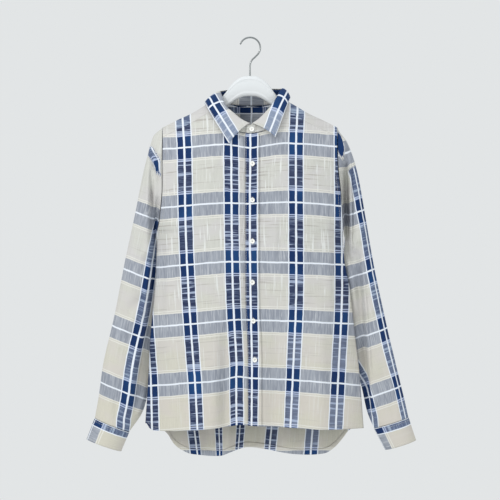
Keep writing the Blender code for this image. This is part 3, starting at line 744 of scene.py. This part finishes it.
def hang(side, x, z):
    """Lift of the body's cloth off its plain form; it dies away at the sides and shoulders."""
    left, right = edges_at(z)
    across = min(abs(2 * x - left - right) / (right - left), 1.0)
    settled = ease((shoulder_z(x) - z - HANG_FROM) / HANG_OVER)
    creases = FRONT_CREASES if side < 0 else BACK_CREASES
    lift = crease_lift(creases, x, z) + cloth_wave(x, side * WAVE_APART, z)
    return lift * (1 - across ** 6) * settled


def draped_sleeve_point(rows, around, along):
    """A point of a sleeve with its creases, lifted off its plain form."""
    point = sleeve_point(rows, around, along)
    angle = 2 * math.pi * around
    front, back = SLEEVE_CREASES[rows[0][1] < 0]
    creases = front if around % 1.0 < 0.5 else back
    lift = crease_lift(creases, abs(point.x), point.z) * mix(0.45, 1.0, abs(math.sin(angle)))
    lift += cloth_wave(*point)
    lift *= ease(along / 0.05) * ease((1 - along) / 0.03)
    # Creases rise towards the front and back much more than they widen the sleeve.
    outwards = (read_point(rows, along) - read_point(rows, along, 4)).normalized()
    return point + (outwards * math.cos(angle) * 0.35 - Vector((0.0, math.sin(angle), 0.0))) * lift


def between_lines(places, at):
    """Count of lines passed at a place, with its part of the way to the next one."""
    index = 0
    while index < len(places) - 2 and at > places[index + 1]:
        index += 1
    return index + (at - places[index]) / (places[index + 1] - places[index])


def front_threads(bands, x, z):
    """Where a point of a front lies in the check: across the blue bands, down the grey ones."""
    lines = [read_table(bands, z, column) for column in range(1, len(bands[0]))]
    cross = [-read_table(FRONT_CROSS_BANDS, x, column) for column in range(1, 6)]
    return between_lines(lines, x) * REPEAT_ACROSS, between_lines(cross, -z) * REPEAT_DOWN


right_front_threads = partial(front_threads, RIGHT_FRONT_BANDS)
left_front_threads = partial(front_threads, LEFT_FRONT_BANDS)


def back_threads(x, z):
    lines = [read_table(BACK_BANDS, z, column) for column in range(1, len(BACK_BANDS[0]))]
    down = between_lines([-line for line in BACK_CROSS_BANDS], -z)
    return between_lines(lines, x) * REPEAT_ACROSS, down * REPEAT_DOWN


def tuck_threads(tuck, x, z):
    """Where a spot of a shoulder tuck lies in the check, or nothing outside the tuck."""
    half_width, narrowing, bluntness, sway = tuck[4:8]
    middle, taken_up, start_down, end_down = tuck[8:]
    along, aside, length = beside(tuck, x, z)
    along /= length
    if not 0 < along < 1:
        return None
    reach = half_width * (1.0 - narrowing * along) * math.sin(math.pi * along) ** bluntness
    aside += sway * math.sin(along * 9.0)
    if abs(aside) >= reach:
        return None
    return middle + aside / reach * taken_up, mix(start_down, end_down, along)


def sleeve_threads(rows, around, along):
    """Where a point of a sleeve lies in the check: round it from a band, and down it."""
    point = sleeve_point(rows, around, along)
    x, z = abs(point.x), point.z
    is_right, at_front = rows[0][1] < 0, around % 1.0 < 0.5
    slope, first, spacing, band_at = RIGHT_SLEEVE_CHECK if is_right else LEFT_SLEEVE_CHECK
    slope = math.radians(slope)
    down = (x * math.sin(slope) - z * math.cos(slope) - first) / spacing
    half_width = read_table(SLEEVE_HALF_WIDTHS, z, 1)
    inset = read_table(OUTER_FOLDS[is_right], z, 1) - x
    turn = math.acos(max(min(1 - inset / half_width, 1.0), -1.0))
    arc = 0.0
    for step in range(ARC_STEPS):
        angle = turn * (step + 0.5) / ARC_STEPS
        rise = math.hypot(half_width * math.sin(angle), SLEEVE_HALF_DEPTH * math.cos(angle))
        arc += rise * turn / ARC_STEPS
    if around % 1.0 > 0.5:
        arc = -arc
    if down < HEAD_FROM and (at_front or not is_right):
        gathered = tuck_threads(RIGHT_SHOULDER_TUCK if is_right else LEFT_SHOULDER_TUCK, x, z)
        if gathered:
            return gathered
    if is_right:
        if down < HEAD_FROM:
            down = HEAD_FROM + (down - HEAD_FROM) * HEAD_SHARE
        if down < 0 and arc > PLAIN_FROM:
            arc = PLAIN_FROM + (arc - PLAIN_FROM) * PLAIN_SHARE
    else:
        if down < LEFT_HEAD_FROM:
            arc = REPEAT_ACROSS * 0.4 + band_at + arc * 0.1
        if arc > band_at:
            taper = LEFT_SLEEVE_TAPER * ease((TAPER_FROM_Z - z) / TAPER_OVER)
            arc += (arc - band_at) * taper
    return arc - band_at, down * REPEAT_DOWN


def edge_lengths(place, steps):
    """Length along a sheet's edge, counted from its middle."""
    points = [place(step / steps) for step in range(steps + 1)]
    lengths = [0.0]
    for before, after in zip(points, points[1:]):
        lengths.append(lengths[-1] + (after - before).length)
    middle = lengths[steps // 2]
    return tuple((step / steps, length - middle) for step, length in enumerate(lengths))


SLEEVE_CREASES = {
    True: (RIGHT_SLEEVE_FRONT_CREASES, RIGHT_SLEEVE_BACK_CREASES),
    False: (LEFT_SLEEVE_FRONT_CREASES, LEFT_SLEEVE_BACK_CREASES),
}
OUTER_FOLDS = {
    is_right: falling([(row[3], abs(row[1])) for row in rows])
    for is_right, rows in ((True, RIGHT_SLEEVE), (False, LEFT_SLEEVE))
}
COLLAR_EDGE = edge_lengths(lambda around: leaf_point(around, 1.0), 80)
STAND_EDGE = edge_lengths(lambda around: stand_point(around, 0.0), 88)


def collar_threads(around, outward):
    """The leaf's blue band follows its outer edge, and two grey lines cross it."""
    depth = (leaf_point(around, 0.0) - leaf_point(around, 1.0)).length * 1.06
    first, second = COLLAR_GREY_LINES
    down = (read_table(COLLAR_EDGE, around, 1) - first) / (second - first) * 2 * REPEAT_DOWN
    return (1 - outward) * depth - COLLAR_BAND_INSET, down


def stand_threads(around, up):
    """Cut crosswise, with a grey band hanging at the centre back and plain ends."""
    top = stand_top(around)
    if abs(top.x) > STAND_PATCH_X and top.z > STAND_PATCH_Z:
        # The ends of the back stand show a dark patch where two bands cross.
        return PATCH_MIDDLE
    grey = (read_table(STAND_EDGE, around, 1) - YOKE_GREY_LINE_X) * 0.9
    return BLUE_EDGE_HALF + 4.0 + up * 30.0, grey


def yoke_threads(around, outward):
    """The strip before the shoulder line follows the fronts; the rest is cut crosswise."""
    point = yoke_point(around, outward)
    strip = 2 / (len(YOKE_ROWS) - 1)
    if around < strip:
        return right_front_threads(point.x, point.z)
    if around > 1 - strip:
        return left_front_threads(point.x, point.z)
    return point.z - YOKE_BLUE_LINE_Z, point.x - YOKE_GREY_LINE_X


def cuff_threads(grey_at, rows, around, along):
    """Cut crosswise: a blue band runs round beside the sleeve, a grey one crosses it."""
    turn = (around % 1.0) * 2 * math.pi
    if around % 1.0 > 0.5:
        turn -= 2 * math.pi
    half_girth = math.pi * math.hypot(CUFF_HALF_WIDTH, CUFF_HALF_DEPTH) / math.sqrt(2)
    (out_x, out_z, _, _), (end_out_x, end_out_z, _, _) = rows
    depth = math.hypot(end_out_x - out_x, end_out_z - out_z)
    return along * depth + CUFF_WHITE_LINE_IN, turn / math.pi * half_girth - grey_at


def linear(hex_colour, alpha=1.0):
    """An sRGB hex colour as linear RGBA."""
    channels = []
    for start in (0, 2, 4):
        value = int(hex_colour[start:start + 2], 16) / 255
        channels.append(value / 12.92 if value <= 0.04045 else ((value + 0.055) / 1.055) ** 2.4)
    return (*channels, alpha)


def set_sockets(made, sockets):
    """A socket takes a value, the output that feeds it, or a node for its first output."""
    for socket, value in sockets.items():
        if isinstance(value, bpy.types.Node):
            value = value.outputs[0]
        if isinstance(value, bpy.types.NodeSocket):
            made.id_data.links.new(value, made.inputs[socket])
        else:
            made.inputs[socket].default_value = value


def add_node(tree, kind, sockets, **settings):
    """A shader node with its sockets and settings."""
    made = tree.nodes.new(f"ShaderNode{kind}")
    for name, value in settings.items():
        setattr(made, name, value)
    set_sockets(made, sockets)
    return made


def new_finish(name):
    """A material, the adding of nodes to it, and its shader."""
    made = bpy.data.materials.new(name)
    made.use_nodes = True
    tree = made.node_tree
    return made, partial(add_node, tree), tree.nodes["Principled BSDF"]


def yarn_dyed_cotton(name, block, between, weft_line, straying):
    """Plain-woven cotton of dyed slub yarns: matt, with bands that darken where they cross.

    The three tones are those of a blue band's yarns where no grey band crosses it, and
    `straying` is the share of darker and paler yarns that run through the plain ground.
    """
    made, node, shader = new_finish(name)
    threads = node("UVMap", {}, uv_map="threads")
    in_mm = node("VectorMath", {0: threads, "Scale": 1 / MM}, operation="SCALE")
    # Hand of the weave: the lines wander by about a millimetre.
    wander = node("TexNoise", {"Vector": in_mm, "Scale": 0.06, "Detail": 2.0}).outputs["Color"]
    centred = node("VectorMath", {0: wander, 1: (0.5, 0.5, 0.5)}, operation="SUBTRACT")
    pulled = node("VectorMath", {0: centred, 1: WANDER, 2: in_mm}, operation="MULTIPLY_ADD")
    parts = node("SeparateXYZ", {0: pulled})

    def join(operation, first, second):
        return node("Math", {0: first, 1: second}, operation=operation)

    def band_mask(axis, repeat, edges):
        """Red inside the band, green on its white lines, blue on the pale threads beside it."""
        fold = join("PINGPONG", parts.outputs[axis], repeat / 2)
        mask = node("ValToRGB", {0: join("DIVIDE", fold, repeat / 2)})
        stops = [(0.0, edges[0][1])]
        for (end, colour), (_, after) in zip(edges, edges[1:]):
            stops.append(((end - EDGE_SOFTNESS) / (repeat / 2), colour))
            stops.append(((end + EDGE_SOFTNESS) / (repeat / 2), after))
        elements = mask.color_ramp.elements
        elements.remove(elements[-1])
        for place, colour in stops:
            stop = elements.new(place) if place else elements[0]
            stop.color = (*colour, 1.0)
        return node("SeparateColor", {0: mask}).outputs

    plain, band, white, pale = (0, 0, 0), (1, 0, 0), (0, 1, 0), (0, 0, 1)
    blue_edges = (
        (BLUE_WHITE_HALF, white), (BLUE_BAND_HALF, band), (BLUE_EDGE_HALF, white),
        (REPEAT_ACROSS / 2, plain),
    )
    grey_edges = (
        (GREY_WHITE_HALF, white), (GREY_BAND_HALF, band), (GREY_BAND_HALF + 2.2, pale),
        (GREY_BAND_HALF + 4.4, plain), (GREY_BAND_HALF + 6.2, pale), (REPEAT_DOWN / 2, plain),
    )
    in_blue, blue_white, _ = band_mask(0, REPEAT_ACROSS, blue_edges)
    in_grey, grey_white, beside_grey = band_mask(1, REPEAT_DOWN, grey_edges)

    def slubs(stretch, low, high, seed):
        """Uneven yarns: noise drawn out along the threads, between two tones."""
        drawn_out = node("Mapping", {"Vector": in_mm, "Scale": (*stretch, 1.0)})
        set_sockets(drawn_out, {"Location": (seed, seed * 1.7, 0.0)})
        streak = node("TexNoise", {"Vector": drawn_out, "Scale": 1, "Detail": 2, "Roughness": 0.6})
        span = {"Value": streak, "From Min": low, "From Max": high}
        return node("MapRange", span, interpolation_type="SMOOTHSTEP")

    def blend(factor, first, second, kind="MIX"):
        """Two tones, each a hex colour or an output, mixed by a factor."""
        sockets = {6: first, 7: second}
        for socket, tone in sockets.items():
            sockets[socket] = linear(tone) if isinstance(tone, str) else tone
        return node("Mix", {0: factor, **sockets}, data_type="RGBA", blend_type=kind).outputs[2]

    # Yarn is about 0.3 mm thick; its slubs are drawn 1 to 3 mm wide so that they show.
    warp_slub = slubs((0.75, 0.022), 0.36, 0.62, 3)
    weft_slub = slubs((0.022, 0.75), 0.36, 0.62, 11)
    blocks = slubs((0.022, 0.12), 0.43, 0.53, 23)
    weft_lines = slubs((0.007, 0.17), 0.555, 0.60, 31)
    fine_weft = slubs((0.03, 0.55), 0.40, 0.66, 37)
    fine_warp = slubs((0.50, 0.022), 0.53, 0.64, 41)
    grey_warp = slubs((0.20, 0.018), 0.40, 0.60, 53)
    drift = slubs((0.012, 0.006), 0.42, 0.78, 61)
    blush = slubs((0.011, 0.016), 0.40, 0.60, 67)
    stray_weft = slubs((0.011, 0.30), 0.585, 0.65, 97)
    stray_warp = slubs((0.30, 0.012), 0.575, 0.65, 103)

    spot = node("SeparateXYZ", {0: node("TexCoord", {}).outputs["Object"]})
    sideways, _, height = spot.outputs
    # Slubs are thickest in the cloth of the chest.
    chest = node("MapRange", {"Value": height, "From Min": -0.74, "From Max": -0.46})
    set_sockets(chest, {"To Min": 0.25})
    strays = join("MULTIPLY", chest, straying)
    ground = blend(warp_slub, "C0BEB5", "CECCC3")
    ground = blend(weft_slub, ground, "C8C6BD")
    ground = blend(blush, ground, "C9C5C1")
    # Painted warm shade: the ground is tinted warmer towards the hem and cooler higher up.
    ground = blend(1.0, ground, blend(chest, "FDFAF2", "F8FBFF"), "MULTIPLY")
    ground = blend(join("MULTIPLY", stray_weft, strays), ground, "ADAAA5")
    ground = blend(join("MULTIPLY", stray_warp, strays), ground, "D6D8D6")
    ground = blend(beside_grey, ground, "D5D4CE")
    grey = blend(grey_warp, "8A8F9A", "999EA8")
    grey = blend(fine_warp, grey, "AEB2B9")
    slate = blend(blocks, block, between)
    slate = blend(drift, slate, between)
    slate = blend(fine_weft, block, slate)
    slate = blend(weft_lines, slate, weft_line)
    # The slate pales towards the hem of the wearer's left front.
    to_left = node("MapRange", {"Value": sideways, "From Min": 0.03, "From Max": 0.10})
    to_hem = node("MapRange", {"Value": height, "From Min": -0.54, "From Max": -0.66})
    set_sockets(to_hem, {"To Max": 0.34 * straying})
    slate = blend(join("MULTIPLY", to_left, to_hem), slate, "A3AEC4")
    slate = blend(beside_grey, slate, "AAB6D2")
    navy = blend(drift, "142E5A", "1E4778")
    outside = blend(in_grey, ground, grey)
    inside = blend(in_grey, slate, navy)
    checked = blend(in_blue, outside, inside)
    checked = blend(join("MAXIMUM", blue_white, grey_white), checked, "DDE3EC")

    # The weave's relief, drawn at 1.4 mm a thread.
    warp_relief, weft_relief = slubs((0.7, 0.1), 0.3, 0.7, 71), slubs((0.1, 0.7), 0.3, 0.7, 83)
    relief = join("ADD", warp_relief, weft_relief)
    bump = node("Bump", {"Height": relief, "Strength": 0.35, "Distance": 0.25 * MM})
    set_sockets(shader, {"Base Color": checked, "Normal": bump, "Roughness": 0.86})
    set_sockets(shader, {"Specular IOR Level": 0.15, "Sheen Weight": 0.05, "Sheen Roughness": 0.5})
    return made


def two_tone(name, scale, detail, first, second):
    """A finish that drifts between two tones, with what more is added to it."""
    made, node, shader = new_finish(name)
    place = node("TexCoord", {}).outputs["Object"]
    drift = node("TexNoise", {"Vector": place, "Scale": scale, "Detail": detail})
    tone = node("Mix", {0: drift, 6: linear(first), 7: linear(second)}, data_type="RGBA")
    set_sockets(shader, {"Base Color": tone.outputs[2]})
    return made, node, shader, place, drift


def moulded_plastic(name, colour, deep_colour, roughness, grain_mm, relief_mm):
    """Injection-moulded plastic: a faint cloudiness and a fine even grain."""
    made, node, shader, place, _ = two_tone(name, 18.0, 3.0, colour, deep_colour)
    grain = node("TexNoise", {"Vector": place, "Scale": 1 / (grain_mm * MM), "Detail": 2.0})
    bump = node("Bump", {"Height": grain, "Strength": 0.3, "Distance": relief_mm * MM})
    set_sockets(shader, {"Normal": bump, "Roughness": roughness, "IOR": 1.52})
    return made


def plated_wire():
    """Nickel-plated drawn steel wire: bright, with fine marks along its length."""
    made, node, shader, _, marks = two_tone("nickel_plated_wire", 420.0, 3.0, "7E8284", "9A9E9F")
    shine = node("MapRange", {"Value": marks, "To Min": 0.22, "To Max": 0.38})
    set_sockets(shader, {"Roughness": shine, "Metallic": 1.0})
    return made


def matt_finish(name, scale, detail, first, second, roughness):
    """A matt finish: sewing thread whose plies change its tone, or rolled floor paint."""
    made, _, shader, _, _ = two_tone(name, scale, detail, first, second)
    set_sockets(shader, {"Roughness": roughness})
    return made


def add_object(name, data):
    made = bpy.data.objects.new(name, data)
    bpy.context.scene.collection.objects.link(made)
    return made


def add_mesh(name, builder, *finishes):
    mesh = bpy.data.meshes.new(name)
    builder.to_mesh(mesh)
    builder.free()
    for finish in finishes:
        mesh.materials.append(finish)
    return add_object(name, mesh)


def take_shape(made):
    """The final mesh of an object, which is then removed."""
    depsgraph = bpy.context.evaluated_depsgraph_get()
    shape = bpy.data.meshes.new_from_object(made.evaluated_get(depsgraph))
    bpy.data.objects.remove(made)
    return shape


def close_up(builder, distance):
    """Corners that meet are joined, and all faces turned outwards."""
    bmesh.ops.remove_doubles(builder, verts=builder.verts, dist=distance * MM)
    bmesh.ops.recalc_face_normals(builder, faces=builder.faces)


def add_piece(name, builder, finish, slot, *nodes):
    """A finished mesh that rides on the body and stands for its CAD nodes."""
    made = add_mesh(name, builder, finish)
    made.data.shade_smooth()
    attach(made, "root")
    if nodes:
        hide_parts(*nodes)
    return made


def unit_grid(columns, rows):
    """A flat grid of faces that is one wide and one long, about its middle."""
    builder = bmesh.new()
    bmesh.ops.create_grid(builder, x_segments=columns, y_segments=rows, size=0.5)
    return builder


def lay_out(builder, place):
    for vertex in builder.verts:
        vertex.co = place(vertex.co.x + 0.5, vertex.co.y + 0.5) * MM


def grid_sheet(name, nodes, grid, place, threads, repeat, finish, thickness=CLOTH, closed=False):
    """A sheet of cloth: a fine grid on its form, its place in the check, and two faces."""
    builder = unit_grid(*grid)
    woven = builder.loops.layers.uv.new("threads")
    for face in builder.faces:
        middle = face.calc_center_median()
        for loop in face.loops:
            # A little towards the face's middle, so that a seam on a grid line stays sharp.
            spot = loop.vert.co.lerp(middle, 0.01)
            across, down = threads(spot.x + 0.5, spot.y + 0.5)
            loop[woven].uv = Vector((across + repeat * REPEAT_ACROSS, down)) * MM
    lay_out(builder, place)
    if closed:
        bmesh.ops.remove_doubles(builder, verts=builder.verts, dist=0.02 * MM)
    made = add_piece(name, builder, finish, "checked_cloth", *nodes)
    wall = made.modifiers.new("cloth", "SOLIDIFY")
    wall.thickness = thickness * MM
    wall.offset = 0.0
    return made


def follow(threads, place):
    def followed(across, along):
        point = place(across, along)
        return threads(point.x, point.z)

    return followed


def tube(form, rows):
    """A form or check that goes round a sleeve or cuff, with its seam at the inner fold."""
    return lambda across, along: form(rows, across + 0.5, along)


def build_cloth(cloth, sleeve_cloth, collar_cloth):
    """Every cut piece, as a thin sheet on its solid's form."""
    sheets = [
        ("right_front", (76, 210), right_front_point,
         follow(right_front_threads, right_front_point), 0, cloth),
        ("left_front", (76, 210), left_front_point,
         follow(left_front_threads, left_front_point), 9, cloth),
        ("front_band", (12, 210), front_band_point,
         follow(left_front_threads, front_band_point), 9, cloth, BAND_CLOTH),
        ("back", (150, 200), back_point, follow(back_threads, back_point), 17, cloth),
        ("yoke", (168, 60), yoke_point, yoke_threads, 26, sleeve_cloth),
        ("collar_stand", (176, 12), stand_point, stand_threads, 33, cloth, DOUBLED_CLOTH),
        ("collar", (200, 26), leaf_point, collar_threads, 41, collar_cloth, DOUBLED_CLOTH),
    ]
    for side, sleeve, cuff, band_at, repeat in (
        ("right", RIGHT_SLEEVE, RIGHT_CUFF, RIGHT_CUFF_BAND, 47),
        ("left", LEFT_SLEEVE, LEFT_CUFF, LEFT_CUFF_BAND, 55),
    ):
        check = tube(sleeve_threads, sleeve), tube(partial(cuff_threads, band_at), cuff)
        sheets += [
            (f"{side}_sleeve", (96, 190), tube(draped_sleeve_point, sleeve), check[0], repeat,
             sleeve_cloth, CLOTH, True),
            (f"{side}_cuff", (80, 18), tube(cuff_point, cuff), check[1], repeat + 4,
             sleeve_cloth, DOUBLED_CLOTH, True),
        ]
    return {name: grid_sheet(f"{name}_cloth", [name], *sheet) for name, *sheet in sheets}


def turn_up(place):
    """The form of a narrow turned hem inside a panel."""
    def placed(across, up):
        point = place(mix(0.01, 0.99, across), 1 - HEM_TURNING / PANEL_LENGTH * up)
        return point + Vector((0.0, -math.copysign(CLOTH + SEAM_GAP, point.y), 0.0))

    return placed


def build_hems(cloth):
    hems = {}
    for side, place, threads, columns in (
        ("right_front", right_front_point, right_front_threads, 76),
        ("left_front", left_front_point, left_front_threads, 76),
        ("back", back_point, back_threads, 150),
    ):
        turned = turn_up(place)
        hems[side] = grid_sheet(
            f"{side}_hem", (), (columns, 4), turned, follow(threads, turned), 65, cloth
        )
    return hems


def add_stitch(builder, start, end, width):
    direction = end - start
    turn = direction.to_track_quat("Z", "Y").to_matrix().to_4x4()
    size = Matrix.Diagonal((width * MM, width * MM, direction.length * STITCH_OVERLAP * MM, 1.0))
    place = Matrix.Translation((start + end) / 2 * MM) @ turn @ size
    bmesh.ops.create_icosphere(builder, subdivisions=1, radius=0.5, matrix=place)


def sew(builder, points, stitch=2.6, gap=0.7, width=0.45):
    """A row of stitches along a path: one short flat-sided thread for each stitch."""
    travelled, start = 0.0, None
    next_at = gap
    for before, after in zip(points, points[1:]):
        run = (after - before).length
        if run == 0:
            continue
        while next_at <= travelled + run:
            spot = before.lerp(after, (next_at - travelled) / run)
            if start is None:
                start = spot
                next_at += stitch
            else:
                add_stitch(builder, start, spot, width)
                start = None
                next_at += gap
        travelled += run


def lift_off(place, across, along):
    """Direction out of a placed sheet, away from the hanger's plane."""
    step = 0.002
    side = place(min(across + step, 1.0), along) - place(max(across - step, 0.0), along)
    down = place(across, min(along + step, 1.0)) - place(across, max(along - step, 0.0))
    normal = side.cross(down).normalized()
    outward = place(across, along)
    if normal.dot(Vector((outward.x * 0.2, outward.y, 0.0))) < 0:
        normal.negate()
    return normal


def path(place, start, end, steps, out=0.0):
    """Points of a placed sheet from one spot to another, lifted off it outwards."""
    points = []
    for step in range(steps + 1):
        spot = mix(start[0], end[0], step / steps), mix(start[1], end[1], step / steps)
        points.append(place(*spot) + lift_off(place, *spot) * out)
    return points


def build_stitching(thread):
    """Rows of topstitching along bands, hems, cuffs, collar and armholes, in one piece."""
    lift, thick = CLOTH / 2 + THREAD_PROUD, DOUBLED_CLOTH / 2 + THREAD_PROUD
    band = BAND_CLOTH / 2 + THREAD_PROUD
    rows = [
        (front_band_point, (0.06, 0.01), (0.06, 0.995), 300, band),
        (front_band_point, (0.94, 0.01), (0.94, 0.995), 300, band),
        (front_band_point, (0.06, 0.995), (0.94, 0.995), 12, band),
        (right_front_point, (0.02, 0.988), (0.98, 0.988), 100, lift),
        (right_front_point, (0.03, 0.03), (0.03, 0.35), 90, lift),
        (left_front_point, (0.02, 0.988), (0.98, 0.988), 100, lift),
        (left_front_point, (0.03, 0.03), (0.03, 0.35), 90, lift),
        (back_point, (0.02, 0.985), (0.98, 0.985), 220, lift),
        (back_point, (0.01, 0.008), (0.99, 0.008), 160, lift),
        (leaf_point, (0.02, 0.90), (0.98, 0.90), 320, thick),
        (leaf_point, (0.012, 0.06), (0.012, 0.90), 40, thick),
        (leaf_point, (0.988, 0.06), (0.988, 0.90), 40, thick),
    ]
    for cuff in (RIGHT_CUFF, LEFT_CUFF):
        for along in (0.10, 0.90):
            rows.append((tube(cuff_point, cuff), (0.0, along), (1.0, along), 120, thick))
    builder = bmesh.new()
    for row in rows:
        sew(builder, path(*row))
    add_piece("topstitching", builder, thread, "checked_cloth")


def down_band(height):
    """How far down the front band a height lies."""
    hem_z = read_table(FRONT_HEM, closing_x(HEM_Z), 1)
    return (height - FRONT_BAND_TOP_Z) / (hem_z - FRONT_BAND_TOP_Z)


def build_buttonholes(thread):
    """Upright buttonholes in the front band, with a dense stitched edge."""
    builder = bmesh.new()
    for height in BUTTON_HEIGHTS:
        middle = down_band(height)
        half = down_band(height - BUTTONHOLE_LENGTH / 2) - middle
        for across in (0.47, 0.53):
            edge = path(front_band_point, (across, middle - half), (across, middle + half), 10, 0.6)
            sew(builder, edge, stitch=0.7, gap=0.1, width=0.9)
    add_piece("buttonholes", builder, thread, "checked_cloth")


def button_shape():
    """A round four-hole button with a raised rim, its back on the plane z = 0."""
    builder = bmesh.new()
    corners = [builder.verts.new((out * MM, 0.0, up * MM)) for out, up in BUTTON_PROFILE]
    outline = [builder.edges.new(pair) for pair in zip(corners, corners[1:])]
    bmesh.ops.spin(
        builder, geom=corners + outline, cent=(0.0, 0.0, 0.0), axis=(0.0, 0.0, 1.0),
        angle=2 * math.pi, steps=40, use_merge=True,
    )
    close_up(builder, 0.01)
    blank = add_mesh("button_blank", builder)
    builder = bmesh.new()
    for quarter in range(4):
        angle = math.radians(45 + 90 * quarter)
        x, y = BUTTON_HOLE_OUT * math.cos(angle) * MM, BUTTON_HOLE_OUT * math.sin(angle) * MM
        bmesh.ops.create_cone(
            builder, cap_ends=True, segments=12, depth=8 * MM,
            radius1=BUTTON_HOLE_RADIUS * MM, radius2=BUTTON_HOLE_RADIUS * MM,
            matrix=Matrix.Translation((x, y, 0.0)),
        )
    drill = add_mesh("button_drill", builder)
    cut = blank.modifiers.new("holes", "BOOLEAN")
    cut.operation, cut.solver, cut.object = "DIFFERENCE", "EXACT", drill
    shape = take_shape(blank)
    bpy.data.objects.remove(drill)
    return shape


def add_button(name, shape, seat, facing, resin, bars):
    """A button on its seat, and the two bars of thread through its holes."""
    turn = facing.to_track_quat("Z", "Y").to_matrix()
    builder = bmesh.new()
    builder.from_mesh(shape)
    builder.transform(Matrix.Translation(seat * MM) @ turn.to_4x4())
    made = add_piece(f"sewn_{name}", builder, resin, "button_resin", name)
    made.data.set_sharp_from_angle(angle=math.radians(35))
    out, along = BUTTON_HOLE_OUT * 0.7, BUTTON_HOLE_OUT * 0.8
    for side in (-out, out):
        ends = (seat + turn @ Vector((side, end, 1.1)) for end in (-along, along))
        add_stitch(bars, *ends, 0.7)


def build_buttons(resin, thread):
    shape, bars = button_shape(), bmesh.new()

    def sew_on(name, place, across, along):
        facing = lift_off(place, across, along)
        seat = place(across, along) + facing * BUTTON_LIFT
        add_button(name, shape, seat, facing, resin, bars)

    for number, height in enumerate(BUTTON_HEIGHTS, start=1):
        sew_on(f"button_{number}", front_band_point, 0.5, down_band(height))
    around = 1 - STAND_BUTTON_ROW / LAST_STAND_ROW
    base_z, top_z = stand_point(around, 0.0).z, stand_point(around, 1.0).z
    seat = stand_point(around, (STAND_BUTTON_Z - base_z) / (top_z - base_z))
    seat.x = STAND_BUTTON_X
    facing = Vector((0.0, -1.0, 0.08)).normalized()
    seat += facing * STAND_BUTTON_LIFT
    add_button("button_stand", shape, seat, facing, resin, bars)
    for side, rows in (("right", RIGHT_CUFF), ("left", LEFT_CUFF)):
        sew_on(f"button_cuff_{side}", tube(cuff_point, rows), 0.20, 0.5)
    add_piece("button_threads", bars, thread, "button_resin")


def build_hanger(plastic, wire):
    builder = unit_grid(64, 150)
    lay_out(builder, hanger_point)
    bmesh.ops.remove_doubles(builder, verts=builder.verts, dist=0.02 * MM)
    ends = [edge for edge in builder.edges if edge.is_boundary]
    bmesh.ops.holes_fill(builder, edges=ends, sides=0)
    bmesh.ops.recalc_face_normals(builder, faces=builder.faces)
    add_piece("moulded_hanger", builder, plastic, "hanger_plastic", "hanger_body")

    centre_line = []
    for step in range(HOOK_STEPS + 1):
        angle = math.radians(mix(162.0, -52.0, step / HOOK_STEPS))
        z = HOOK_WIRE / 2 - HOOK_RADIUS + HOOK_RADIUS * math.sin(angle)
        centre_line.append((HOOK_RADIUS * math.cos(angle), z))
    centre_line += HOOK_STEM
    curve = bpy.data.curves.new("hook_wire", "CURVE")
    curve.dimensions = "3D"
    curve.bevel_depth = HOOK_WIRE / 2 * MM
    curve.bevel_resolution = 5
    curve.use_fill_caps = True
    spline = curve.splines.new("POLY")
    spline.points.add(len(centre_line) - 1)
    for index, (point, (x, z)) in enumerate(zip(spline.points, centre_line)):
        point.co = (x * MM, 0.0, z * MM, 1.0)
        # The cut end of the wire is rounded over.
        point.radius = min(1.0, 0.45 + 0.275 * index)
    builder = bmesh.new()
    builder.from_mesh(take_shape(add_object("hook_curve", curve)))
    close_up(builder, 0.01)
    hook = add_piece("bent_wire_hook", builder, wire, "hook_steel", "hanger_hook")
    hook.data.set_sharp_from_angle(angle=math.radians(50))


def build_stage():
    builder = bmesh.new()
    below = Matrix.Translation((0.0, 0.0, FLOOR_Z))
    bmesh.ops.create_circle(builder, cap_ends=True, segments=96, radius=2.3, matrix=below)
    # Matt painted floor with a trace of roller texture.
    paint = matt_finish("matt_floor_paint", 6.0, 3.0, "E9EDEE", "EDF0F1", 0.9)
    add_mesh("floor", builder, paint)
    world = bpy.data.worlds.new("studio")
    bpy.context.scene.world = world
    world.use_nodes = True
    set_sockets(world.node_tree.nodes["Background"], {0: linear("F3F6F7"), 1: 0.85})
    for name, place, size, power, colour in STUDIO_LIGHTS:
        lamp = bpy.data.lights.new(name, "AREA")
        lamp.size = size
        lamp.energy = power
        lamp.color = linear(colour)[:3]
        made = add_object(name, lamp)
        made.location = place
        aim = Vector(LIGHTS_AIM) - Vector(place)
        made.rotation_euler = aim.to_track_quat("-Z", "Y").to_euler()
    bpy.context.scene.view_settings.view_transform = "Standard"


def build_camera():
    """A lens that takes in the frame's width at the shirt's front."""
    camera = bpy.data.cameras.new("camera")
    camera.sensor_width = 36.0
    camera.lens = camera.sensor_width * FRONT_AWAY / FRAME_WIDTH
    made = add_object("camera", camera)
    made.location = CAMERA_PLACE
    made.rotation_euler = (math.radians(90), 0.0, 0.0)
    bpy.context.scene.camera = made


def plain(box):
    return [[float(value) for value in corner] for corner in box]


def main():
    cloth = yarn_dyed_cotton("yarn_dyed_cotton", "2B3451", "535F7A", "99A5BD", 1.0)
    sleeve_cloth = yarn_dyed_cotton("yarn_dyed_sleeve_cotton", "4F5B78", "76849B", "93A1B6", 0.3)
    collar_cloth = yarn_dyed_cotton("yarn_dyed_collar_cotton", "7F8BA2", "8F9AAD", "A0A9B9", 0.2)
    # Spun polyester thread: its plies draw a fine change of tone.
    thread = matt_finish("beige_sewing_thread", 900.0, 2.0, "D9D5CA", "E6E3DA", 0.8)
    # Glossy polyester resin of the buttons, and the hanger's ABS with a soft sheen.
    resin = moulded_plastic("polyester_button_resin", "F4F4F1", "E8E8E4", 0.25, 0.6, 0.02)
    plastic = moulded_plastic("moulded_abs", "DADDDF", "D2D6D9", 0.38, 0.5, 0.03)
    pieces = build_cloth(cloth, sleeve_cloth, collar_cloth)
    hems = build_hems(cloth)
    build_stitching(thread)
    build_buttonholes(thread)
    build_buttons(resin, thread)
    build_hanger(plastic, plated_wire())
    build_stage()
    build_camera()


main()
